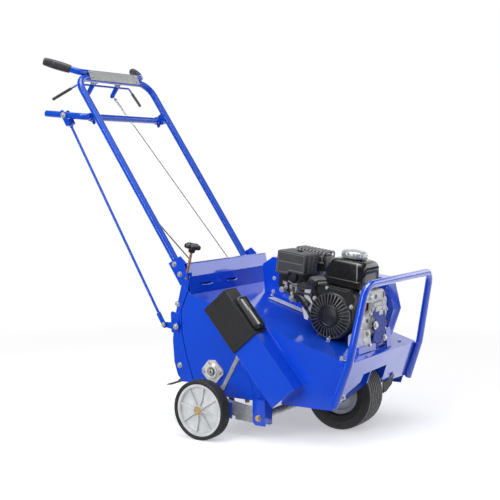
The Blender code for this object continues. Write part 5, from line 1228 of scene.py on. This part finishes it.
def chassis_details():
    """Folded lips, welds, flaps and small plates on the sheets."""
    blue = Shape()
    rear = [(0.4295, 0.4059), (0.4354, 0.4), (0.433, 0.33), (0.4013, 0.3259), (0.399, 0.4)]
    hatch = [(0.0872, 0.1243), (0.1867, 0.1243), (0.186, 0.17), (0.169, 0.204), (0.1513, 0.2142)]
    hatch += [(0.1467, 0.2493), (0.12, 0.23), (0.098, 0.185)]
    for sign in SIGNS:
        blue.prism("X", rear, *span(sign, 0.264, 0.267))
        blue.prism("X", hatch, *span(sign, 0.2638, 0.2655))
    blue.block((-0.259, 0.364, 0.5765), (0.259, 0.379, 0.5795))
    blue.block((-0.259, 0.363, 0.5765), (0.259, 0.379, 0.579))
    blue.make("chassis_plates", BLUE, bevel=0.0008)
    lips = Shape()
    shares = [index / 8 - 0.5 for index in range(9)]
    for x in (-0.165, -0.005):
        path = [
            (x + 0.066 * at, 0.3475 - 0.004 * (1 - 4 * at * at), 0.4965 + 0.01 * at * at)
            for at in shares
        ]
        lips.pipe(path, 0.0022, 8)
    lips.make("hood_slot_lips", BLUE)
    beads = Shape()
    welds = (
        ((0.2642, -0.263, 0.283), (0.2642, -0.206, 0.142), 0.0018),
        ((0.2655, 0.019, 0.1385), (0.2655, 0.064, 0.1385), 0.0022),
        ((0.303, 0.019, 0.061), (0.303, 0.019, 0.133), 0.0018),
        ((0.216, 0.418, 0.523), (0.234, 0.418, 0.523), 0.002),
    )
    for sign in SIGNS:
        for first, second, radius in welds:
            beads.weld((sign * first[0], *first[1:]), (sign * second[0], *second[1:]), radius)
    beads.make("chassis_welds", BLUE)
    flap = Shape()
    stations = ((0.406, 0.162, 0.004), (0.426, 0.146, 0.004), (0.448, 0.136, 0.0038), (0.47, 0.133, 0.0035))
    for sign in SIGNS:
        low, high = span(sign, 0.25, 0.12)
        rows = []
        for y, z, thick in stations:
            rows.append([(low, y, z), (high, y, z), (high, y, z + thick), (low, y, z + thick)])
        flap.rings(rows)
    flap.make("rear_flaps", RUBBER, bevel=0.0006)


def engine_brackets():
    """The blue folded brackets in front of the crankcase, the engine's base plate, and a ragged darker blue
    sheet in front of them that is painted shade.
    """
    # A ragged sheet in the darker blue, over a part of the front that lies in shade: painted shade.
    ragged = [(-0.032, 0.424), (-0.01, 0.429), (0.006, 0.437), (0.039, 0.434), (0.056, 0.4)]
    ragged += [(0.052, 0.32), (0.018, 0.308), (-0.025, 0.312), (-0.042, 0.33), (-0.03, 0.356)]
    ragged += [(-0.042, 0.372), (-0.018, 0.39), (-0.046, 0.41)]
    shade = Shape().prism("Y", ragged, -0.252, -0.25)
    shade.make("engine_shade_sheet", SHADE_SHEET_BLUE, bevel=0.0008)
    plates = Shape()
    plates.block((-0.146, -0.25, 0.29), (-0.018, -0.249, 0.314))
    plates.block((-0.146, -0.25, 0.312), (-0.018, -0.234, 0.3145))
    plates.block((-0.146, -0.25, 0.29), (-0.144, -0.234, 0.314))
    angle = [(-0.256, 0.286), (-0.25, 0.288), (-0.245, 0.352), (-0.25, 0.353)]
    plates.prism("X", angle, 0.06, 0.0975)
    tilt = Matrix.Rotation(ENGINE_TILT, 4, "X")
    plates.block((-0.064, -0.243, 0.306), (0.086, -0.06, 0.311), tilt)
    plates.make("engine_brackets", BLUE, bevel=0.0012)
    fasteners = Shape()
    for x, z, size in ((-0.025, 0.374, 0.0082), (0.046, 0.322, 0.0068), (0.03, 0.424, 0.004)):
        fasteners.bolt((x, -0.2518, z), FORWARD, size)
    fasteners.make("bracket_bolts", ZINC, bevel=0.0003)


def guard_details():
    """Lips, bolts and the light strip along the foot of the belt guard."""
    lip = Shape()
    for x0, x1 in ((0.0805, 0.0975), (0.1605, 0.178)):
        lip.slab(x0, x1, [(y, deck_height(y) + 0.0003) for y in (-0.205, 0.258)], 0.0025)
    lip.make("belt_guard_flange", BLUE, bevel=0.0006)
    strip = Shape().slab(0.04, 0.078, [(y, deck_height(y) + 0.003) for y in (0.06, 0.215)], 0.002)
    strip.make("deck_strip", WHITE, bevel=0.0006)
    fasteners = Shape()
    for y in (-0.15, 0.04, 0.23):
        fasteners.bolt((0.089, y, deck_height(y) + 0.0028), DECK_UP, 0.0045)
    fasteners.bolts(0.0979, ((0.225, 0.5), (-0.2, 0.47), (-0.205, 0.36), (0.23, 0.45)), RIGHT, 0.0045)
    fasteners.make("belt_guard_bolts", ZINC, bevel=0.0003)


def guard_at(along, across):
    """A place on the chain guard, from its top end along it and across it."""
    return Vector(GUARD_TOP) + GUARD_LINE * along + GUARD_SIDE * across


def chain_guard_edges():
    """A hemmed edge round the chain guard's foot, and a lip along its front edge."""
    hem = Shape()
    foot = ((0.399, -0.055), (0.399, 0.055))
    sides = [((0.18, across), (0.398, across)) for across in (-0.0545, 0.0545)]
    for ends in (foot, *sides):
        hem.pipe(lay("X", [guard_at(*end) for end in ends], GUARD_FACE_X), 0.0014, 10)
    corners = ((0.15, 0.054), (0.4, 0.054), (0.4, 0.068), (0.15, 0.068))
    hem.prism("X", [guard_at(*corner) for corner in corners], -0.268, -0.2645)
    hem.make("chain_guard_hem", BLUE, bevel=0.0008)


def document_box():
    """The black box over the guard's upper end, its lid with two slips of paper, and the hinge."""
    shell = Shape()
    half = 0.057
    thick = 0.0027
    walls = [(0.176, -half, half, -0.334, -0.3255), (0.176, -half, -half + thick, -0.328, -0.2643)]
    walls += [(0.176, half - thick, half, -0.328, -0.2643), (-0.0005, -half, half, -0.328, -0.2643)]
    for end, near, far, low, high in walls:
        corners = ((-0.008, near), (end, near), (end, far), (-0.008, far))
        shell.prism("X", [guard_at(*corner) for corner in corners], low, high)
    shell.dress("document_box", BOX_BLACK, bevel=0.0016)
    foot, top = 0.0575, 0.0735
    rows = []
    levels = ((0.0, 0.001), (0.002, 0.0), (0.0105, 0.0), (0.014, 0.0015), (top - foot, 0.005))
    for lift, inset in levels:
        outline = rounded(-0.3215 + inset, -0.268 - inset, 0.0345 + inset, 0.1655 - inset, 0.012)
        rows.append([(x, *guard_at(along, foot + lift)) for x, along in outline])
    lid = Shape().rings(rows)
    lid.dress("document_lid", SATIN, "lid", bevel=0.0006, angle=50)
    paper = Shape()
    for start, end, x0, x1 in ((0.048, 0.094, -0.312, -0.3), (0.084, 0.152, -0.308, -0.296)):
        rows = []
        for point in (guard_at(start, top - 0.0002), guard_at(end, top - 0.0002)):
            raised = point + GUARD_SIDE * 0.0008
            rows.append([(x0, *point), (x1, *point), (x1, *raised), (x0, *raised)])
        paper.rings(rows)
    paper.make("document_sheets", PAPER, "lid")
    corners = ((0.042, -0.316), (0.042, -0.2735), (0.158, -0.2735), (0.158, -0.316))
    loop = [(x, *guard_at(along, top)) for along, x in corners + corners[:2]]
    rim = Shape().pipe(loop, 0.0022, 8, bend=0.006)
    rim.make("document_lid_rim", SATIN, "lid")
    catch = Shape()
    for along in (0.055, 0.145):
        spot = guard_at(along, 0.0605)
        catch.rod((GUARD_FACE_X, *spot), (-0.27, *spot), 0.004, 12)
    catch.make("document_lid_hinge", BLACK, bevel=0.0004)


def reel_bearing(label, sign):
    """A diamond flange with a turned hub, and a grease nipple."""
    x = sign * 0.2643
    out = (sign, 0, 0)
    flange = Shape()
    corners = [(-0.044, -0.007), (-0.017, -0.038), (0.012, -0.04), (0.044, -0.007)]
    corners += [(0.044, 0.007), (0.016, 0.039), (-0.012, 0.04), (-0.044, 0.007)]
    low, high = sorted((x, x + sign * 0.008))
    flange.prism("X", [(REEL[0] + y, REEL[1] + z) for y, z in corners], low, high)
    hub = [(0.0132, 0.002), (0.03, 0.002), (0.0295, 0.0095), (0.0255, 0.011), (0.024, 0.015)]
    hub += [(0.0225, 0.016), (0.017, 0.016), (0.0165, 0.013), (0.0132, 0.013)]
    flange.lathe((x, *REEL), out, hub, 48)
    flange.dress(f"reel_bearing_{label}", BEARING, bevel=0.0012)
    foot = Vector((x + sign * 0.011, REEL[0] + 0.006, REEL[1] + 0.026))
    neck = foot + Vector((sign * 0.006, 0.001, 0.006))
    tip = foot + Vector((sign * 0.009, 0.0015, 0.009))
    nipple = Shape().rod(foot, neck, 0.0028, 6).rod(neck, tip, 0.0018, 10)
    nipple.make(f"grease_nipple_{label}", BRASS)


def carriage():
    """The zinc tube and channels that carry the rear wheels, with their axles."""
    channels = Shape().rod((-0.283, *CARRIAGE), (0.283, *CARRIAGE), 0.0125, 32)
    nuts = Shape()
    posts = Shape()
    axle = REAR_AXLE[1:]
    lean = math.degrees(math.atan2(axle[1] - CARRIAGE[1], axle[0] - CARRIAGE[0]))
    channel = arc(axle, 0.025, lean - 90, lean + 90, 12)
    channel.append((CARRIAGE[0] + 0.03, CARRIAGE[1] + 0.026))
    channel += arc(CARRIAGE, 0.0185, lean + 90, lean + 270, 12)
    channel.append((CARRIAGE[0] + 0.032, CARRIAGE[1] - 0.02))
    cover = [(0.1446, 0.0575), (0.1419, 0.1063), (0.0691, 0.1012), (0.0697, 0.0532)]
    post = [(0.1568, 0.057), (0.1746, 0.064), (0.1746, 0.114), (0.1568, 0.112)]
    nut = [
        (0.0079, 0.0012), (0.0112, 0.0012), (0.0118, 0.0022),
        (0.0118, 0.0062), (0.01, 0.0074), (0.0079, 0.0074),
    ]
    pins = ((CARRIAGE, 0.312, 0.008, 24), (axle, 0.364, 0.013, 28), (axle, 0.419, 0.0079, 24))
    for sign in SIGNS:
        out = (sign, 0, 0)
        channels.prism("X", channel, *span(sign, 0.281, 0.293))
        for place, end, radius, steps in pins:
            channels.rod((sign * 0.287, *place), (sign * end, *place), radius, steps)
        channels.prism("X", cover, *span(sign, 0.293, 0.2948))
        posts.prism("X", post, *span(sign, 0.2925, 0.299))
        nuts.bolt((sign * 0.313, *CARRIAGE), out, 0.0072, washer=False)
        nuts.lathe((sign * 0.4136, *axle), out, hoop(0.0079, 0.015, 0.0, 0.0016), 32)
        nuts.lathe((sign * 0.4136, *axle), out, nut, 6)
    channels.dress("wheel_carriage", CARRIAGE_ZINC, "carriage", bevel=0.0012)
    nuts.make("carriage_nuts", BRASS, "carriage", bevel=0.0004)
    posts.make("carriage_posts", BLUE, "carriage", bevel=0.0008)


def reel():
    """Four discs with hollow tines, each tine held by a bolt, on the reel's shaft."""
    tube = [
        (0.0066, 0.126), (0.0075, 0.148), (0.0085, 0.1465),
        (0.0095, 0.138), (0.0095, 0.062), (0.0066, 0.062),
    ]
    for index, x in enumerate((-0.21, -0.07, 0.07, 0.21), 1):
        centre = Vector((x, *REEL))
        star = Shape()
        star.lathe(centre, LEFT, hoop(0.0128, 0.082, -0.004, 0.004), 48)
        star.lathe(centre, LEFT, hoop(0.0128, 0.022, -0.009, 0.009), 36)
        bolts = Shape()
        for tine in range(6):
            angle = math.radians(15.0 * (index - 1) + 60.0 * tine + 10.0)
            out = Vector((0.0, math.cos(angle), math.sin(angle)))
            star.lathe(centre, out, tube, 20)
            star.rod(centre + out * 0.06, centre + out * 0.1, 0.0066, 12)
            bolts.bolt(centre + out * 0.07 + Vector((0.0096, 0, 0)), LEFT, 0.0042, washer=False)
            bolts.bolt(centre + out * 0.07 - Vector((0.0096, 0, 0)), RIGHT, 0.0042, washer=False, nut=True)
        star.dress(f"tine_star_{index}", DARK, "reel", bevel=0.0006)
        bolts.make(f"tine_bolts_{index}", ZINC, "reel", bevel=0.0002)
    caps = Shape()
    cap = [(0.0034, -0.003), (0.0034, 0.0006), (0.0105, 0.0006), (0.0124, -0.0006), (0.0124, -0.003)]
    for sign in SIGNS:
        caps.lathe((sign * 0.2821, *REEL), (sign, 0, 0), cap, 36)
    caps.make("reel_shaft_caps", WHITE_STEEL, "reel")


# Handle and its controls

def grip_point(sign, reach):
    """A place on a grip's middle line, from the end of the grip bar."""
    aim = Vector(GRIP_AIM).normalized()
    aim.x *= sign
    return Vector((sign * GRIP_BAR_X, *GRIP_BAR)) + aim * reach


def handle():
    """The bent tubes, the clips welded on them and the pins of the bail."""
    tubes = Shape()
    path = [(-HANDLE_X, *LEG_FOOT), (-HANDLE_X, *LEG_TOP), (HANDLE_X, *LEG_TOP), (HANDLE_X, *LEG_FOOT)]
    tubes.pipe(path, 0.0135, 28, bend=0.06)
    bar = [(-GRIP_BAR_X, *GRIP_BAR), (GRIP_BAR_X, *GRIP_BAR)]
    tubes.pipe([grip_point(-1, 0.138), *bar, grip_point(1, 0.138)], 0.0125, 28, bend=0.03)
    leg = (Vector(LEG_TOP) - Vector(LEG_FOOT)).normalized()
    pivot = Vector(LEVER_PIVOT)
    foot = Vector(LEG_FOOT) + leg * (pivot - Vector(LEG_FOOT)).dot(leg)
    across = (pivot - foot).normalized()
    heading = math.degrees(math.atan2(across.y, across.x))
    clip = [foot - leg * 0.018, pivot - leg * 0.018 + across * 0.004]
    clip += arc(pivot, 0.0185, heading - 75, heading + 75, 10)
    clip += [pivot + leg * 0.018 + across * 0.004, foot + leg * 0.018]
    ear = [(LEG_TOP[0] + y, LEG_TOP[1] + z) for y, z in ((-0.004, 0.002), (0.006, -0.01))]
    round_pin = ((-0.002, -0.008), (0.008, -0.002), (0.004, 0.008))
    ear += [(BAIL_PIVOT[0] + y, BAIL_PIVOT[1] + z) for y, z in round_pin]
    for sign in SIGNS:
        tubes.prism("X", clip, *span(sign, 0.1975, 0.2065))
        tubes.prism("X", ear, *span(sign, 0.064, 0.068))
        tubes.rod((sign * 0.065, *BAIL_PIVOT), (sign * 0.08, *BAIL_PIVOT), 0.004, 16)
        tubes.weld((sign * 0.206, *(foot - leg * 0.018)), (sign * 0.206, *(foot + leg * 0.018)), 0.0022)
        for shift in (-0.011, 0.011):
            spot = pivot - leg * 0.016 + across * shift
            tubes.bolt((sign * 0.1976, *spot), (-sign, 0, 0), 0.0046, nut=True)
        for collar in (sign * 0.217, sign * 0.183):
            tubes.rod((collar - 0.003, *pivot), (collar + 0.003, *pivot), 0.0158, 28)
    tubes.dress("handle_frame", SHADED_TUBE_BLUE, bevel=0.0006)


def handle_plate():
    """The grey plate between the handle's two bars, and the bolts on it and on the bail's pins."""
    up = (Vector(GRIP_BAR) - Vector(LEG_TOP)).normalized()
    out = Vector((-up.y, up.x))
    face = Vector(LEG_TOP) + out * 0.0158
    foot, top = face - up * 0.0128, face + up * 0.0272
    corners = (foot, top, top - out * 0.002, foot - out * 0.002)
    plate = Shape().prism("X", corners, -0.15, 0.144)
    plate.dress("handle_plate", PLATE, bevel=0.0004)
    fasteners = Shape()
    for x in (-0.08, 0.064):
        fasteners.bolt((x, *BAIL_PIVOT), RIGHT, 0.0078)
    fasteners.bolt((0.08, *BAIL_PIVOT), LEFT, 0.0046)
    for x in (-0.135, 0.13):
        for lift in (0.0, 0.02):
            fasteners.bolt((x, *(face + up * lift)), (0, *out), 0.004, washer=False)
    fasteners.make("handle_bolts", ZINC, bevel=0.0003)


def grips():
    """Rubber grips with rings round them and a closed end, with thin light grey hoops on that end painted
    as highlights.
    """
    for label, sign in SIDES:
        start = grip_point(sign, 0.036)
        aim = (grip_point(sign, 0.142) - start).normalized()
        profile = [(0.0129, 0.0), (0.0142, 0.0), (0.0152, 0.0015)]
        for index in range(24):
            place = 0.004 + 0.0039 * index
            swell = 0.0154 + 0.002 * math.sin(math.pi * min(place / 0.092, 1.0)) ** 0.7
            profile += [(swell, place), (swell, place + 0.0028)]
            profile += [(swell - 0.0004, place + 0.003), (swell - 0.0004, place + 0.0037)]
        profile += [(0.0152, 0.0985), (0.014, 0.1035), (0.0105, 0.1055)]
        profile += [(CORE, 0.106), (CORE, 0.1026), (0.0129, 0.1026)]
        grip = Shape().lathe(start, aim, profile, 40)
        grip.dress(f"grip_{label}", GRIP, angle=50)
        # Thin light grey hoops on the grip's closed end: painted highlights.
        for radius in (0.01, 0.0055):
            rim = hoop(radius, radius + 0.0011, -0.0004, 0.0005)
            highlight_ring = Shape().lathe(start + aim * 0.1054, aim, rim, 32)
            highlight_ring.make(f"grip_end_highlight_{label}_{int(radius * 10000)}", HIGHLIGHT_LINE_GREY)


def clutch_cable():
    """The bright adjusting barrel under the bail's arm and the thin wire below it."""
    top = Vector((CABLE_X, *BAIL_ARM_END))
    passing = Vector(CABLE_PASSING)
    aim = (top - passing).normalized()
    low = passing - aim * ((passing.y - CABLE_ENTRY_Y) / aim.y + 0.012)
    barrel = Shape()
    barrel.rod(top - aim * 0.15, top - aim * 0.014, 0.0036, 16)
    for start, end in ((0.014, 0.024), (0.118, 0.128), (0.132, 0.137)):
        barrel.rod(top - aim * end, top - aim * start, 0.0056, 6)
    barrel.rod(top - aim * 0.16, top - aim * 0.148, 0.0024, 12)
    barrel.rod(top - aim * 0.014, top, 0.0016, 8)
    barrel.make("clutch_barrel", WHITE_STEEL, "cable", bevel=0.0003)
    wire = Shape()
    wire.rod(low, top - aim * 0.15, 0.0016, 10)
    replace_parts(wire.make("clutch_wire", CABLE_GREY, "cable"), "clutch_cable")


def lift_lever():
    """The bent lift lever across the handle, its end plug and the head of its pin."""
    lever = Shape()
    end = (LEVER_X, *LEVER_END)
    lever.pipe([(0.235, *LEVER_PIVOT), (LEVER_X, *LEVER_PIVOT), end], TUBE_RADIUS, 28, bend=0.02)
    lever.rod((LEVER_X - 0.021, *LEVER_PIN), (LEVER_X + 0.0175, *LEVER_PIN), 0.004, 16)
    lever.dress("lift_lever", SHADED_TUBE_BLUE, "lever", bevel=0.0008)
    aim = (Vector(end) - Vector((LEVER_X, *LEVER_PIVOT))).normalized()
    profile = [
        (CORE, -0.004), (0.0115, -0.004), (0.0115, -0.0002),
        (0.0126, -0.0002), (0.0122, 0.0006), (CORE, 0.001),
    ]
    plug = Shape().lathe(end, aim, profile, 28)
    plug.make("lift_lever_plug", BLACK, "lever")
    head = Shape().bolt((LEVER_X - 0.017, *LEVER_PIN), RIGHT, 0.0068)
    head.make("lever_pin_head", ZINC, "lever", bevel=0.0003)


def lift_rod():
    """The rod from the lever to the crank, with a clevis at its top and an eye at its foot."""
    rod = Shape()
    top = Vector((LEVER_X, *LEVER_PIN))
    foot = Vector((ROD_FOOT_X, *CRANK_PIN))
    line = (foot - top).normalized()
    rod.pipe([top + line * 0.03, foot - line * 0.04], 0.005, 16)
    rod.pipe([top + line * 0.04, top + line * 0.052], 0.0078, 6)
    down = Vector((line.y, line.z)).normalized()

    def strap(start, stop, wide, low, high, round_end=True):
        ahead = (stop - start).normalized()
        aside = Vector((-ahead.y, ahead.x)) * wide
        heading = math.degrees(math.atan2(ahead.y, ahead.x))
        end = arc(stop, wide, heading - 90, heading + 90, 10) if round_end else [stop - aside, stop + aside]
        rod.prism("X", (start + aside, start - aside, *end), low, high)

    pin_at = top.yz
    crank_at = foot.yz
    gap = 0.0137
    for low in (LEVER_X - gap - 0.003, LEVER_X + gap):
        strap(pin_at + down * 0.042, pin_at - down * 0.011, 0.0105, low, low + 0.003)
    low, high = LEVER_X - gap - 0.0025, LEVER_X + gap + 0.0025
    strap(pin_at + down * 0.024, pin_at + down * 0.044, 0.01, low, high, round_end=False)
    strap(crank_at - down * 0.048, crank_at + down * 0.004, 0.009, ROD_FOOT_X - 0.002, ROD_FOOT_X + 0.002)
    rod.weld((ROD_FOOT_X, *(crank_at - down * 0.046)), (ROD_FOOT_X, *(crank_at - down * 0.034)), 0.0055)
    rod.dress("lift_rod", SHADED_TUBE_BLUE, "rod", bevel=0.0006)


def lift_crank():
    """The flat crank at the rod's foot, its shaft and its pin."""
    crank = Shape()
    crank.prism("X", link(CRANK_PIVOT, 0.014, CRANK_PIN, 0.009), CRANK_X - 0.002, CRANK_X + 0.002)
    crank.rod((CRANK_X, *CRANK_PIVOT), (-0.232, *CRANK_PIVOT), 0.008, 24)
    crank.rod((CRANK_X, *CRANK_PIN), (ROD_FOOT_X - 0.006, *CRANK_PIN), 0.0035, 16)
    crank.dress("lift_crank", SHADED_TUBE_BLUE, "crank", bevel=0.0006)
    heads = Shape()
    heads.bolt((CRANK_X - 0.0019, *CRANK_PIVOT), RIGHT, 0.0062)
    heads.bolt((ROD_FOOT_X - 0.0045, *CRANK_PIN), RIGHT, 0.0048)
    heads.make("crank_bolts", ZINC, "crank", bevel=0.0003)


def bail():
    """The control bail: a blue rod with black tips, and its two arms."""
    rod = Shape()
    tips = Shape()
    pins = Shape()
    ends = {sign: Vector((sign * BAIL_TIP[0], *BAIL_TIP[1:])) for sign in SIGNS}
    knees = {sign: Vector((sign * 0.151, *BAIL_ROD_AT)) for sign in SIGNS}
    rod.pipe([ends[-1], knees[-1], knees[1], ends[1]], 0.004, 20, bend=0.015)
    for sign in SIGNS:
        rod.prism("X", link(BAIL_PIVOT, 0.01, BAIL_ARM_END, 0.0085, 14, 12), *span(sign, 0.069, 0.0766))
        past = (ends[sign] - knees[sign]).normalized() * 0.0015
        tips.pipe([knees[sign].lerp(ends[sign], 0.3), ends[sign] + past], 0.0058, 18)
        pins.bolt((sign * 0.0767, *BAIL_ARM_END), (sign, 0, 0), 0.0036)
    rod.dress("control_bail", SHADED_TUBE_BLUE, "bail", bevel=0.0005)
    tips.make("bail_tips", BLACK, "bail", bevel=0.0012)
    pins.make("bail_pins", ZINC, "bail", bevel=0.0002)


def screw():
    """The threaded depth screw with its star knob."""
    nut = Vector((SCREW_X, *SCREW_NUT))
    knob_at = Vector((SCREW_X, *SCREW_KNOB))
    aim = (knob_at - nut).normalized()
    foot, pitch = -0.016, 0.0015
    count = int(((knob_at - nut).length + 0.006) / pitch)
    profile = [(CORE, foot)]
    for index in range(count):
        place = foot + pitch * index
        profile += [
            (0.0044, place), (0.005, place + 0.0005), (0.005, place + 0.0008), (0.0044, place + 0.0013),
        ]
    profile.append((CORE, foot + pitch * count))
    thread = Shape().lathe(nut, aim, profile, 24)
    thread.dress("depth_screw", BROWN_ZINC, "knob", angle=60)

    def star(angle, radius):
        return 1.0 - 0.2 * (1 - math.cos(5 * angle)) / 2 * (radius > 0.018)

    profile = [(0.0055, -0.022), (0.0108, -0.022), (0.0135, -0.0085), (0.026, -0.0078), (0.03, -0.005)]
    profile += [(0.03, 0.0045), (0.027, 0.0075), (0.013, 0.0078), (0.011, 0.006), (0.0055, 0.006)]
    knob = Shape().lathe(knob_at, aim, profile, 100, wave=star)
    knob.lathe(knob_at, aim, disc(0.009, 0.005, 0.0072), 24)
    knob.dress("depth_knob", BLACK, "knob", bevel=0.0006, angle=50)


# The scene: camera, light and floor, then the pieces

bpy.context.scene.view_settings.view_transform = "Standard"
look()
backdrop()
floor()
softbox("top_light", (-0.6, -0.4, 3.4), (0.0, 0.1, 0.4), 3.4, 3.4, 40.0)
softbox("front_light", (1.2, -3.6, 1.5), (0.0, 0.0, 0.4), 2.6, 2.2, 8.0, mirrored=False)
softbox("side_light", (-3.8, 0.9, 1.9), (0.0, 0.1, 0.5), 2.4, 2.4, 80.0, mirrored=False)

dress_nodes()
front_wheel()
for label, sign in SIDES:
    rear_wheel(label, sign)
    reel_bearing(label, sign)
recoil_starter()
tank()
air_box()
exhaust()
crankcase()
crankcase_front()
engine_foot()
crankcase_bolts()
carburettor()
inlet_housing()
carburettor_fittings()
engine_controls()
bumper()
chassis_bolts()
chassis_details()
engine_brackets()
guard_details()
chain_guard_edges()
document_box()
carriage()
reel()
handle()
handle_plate()
grips()
clutch_cable()
lift_lever()
lift_rod()
lift_crank()
bail()
screw()
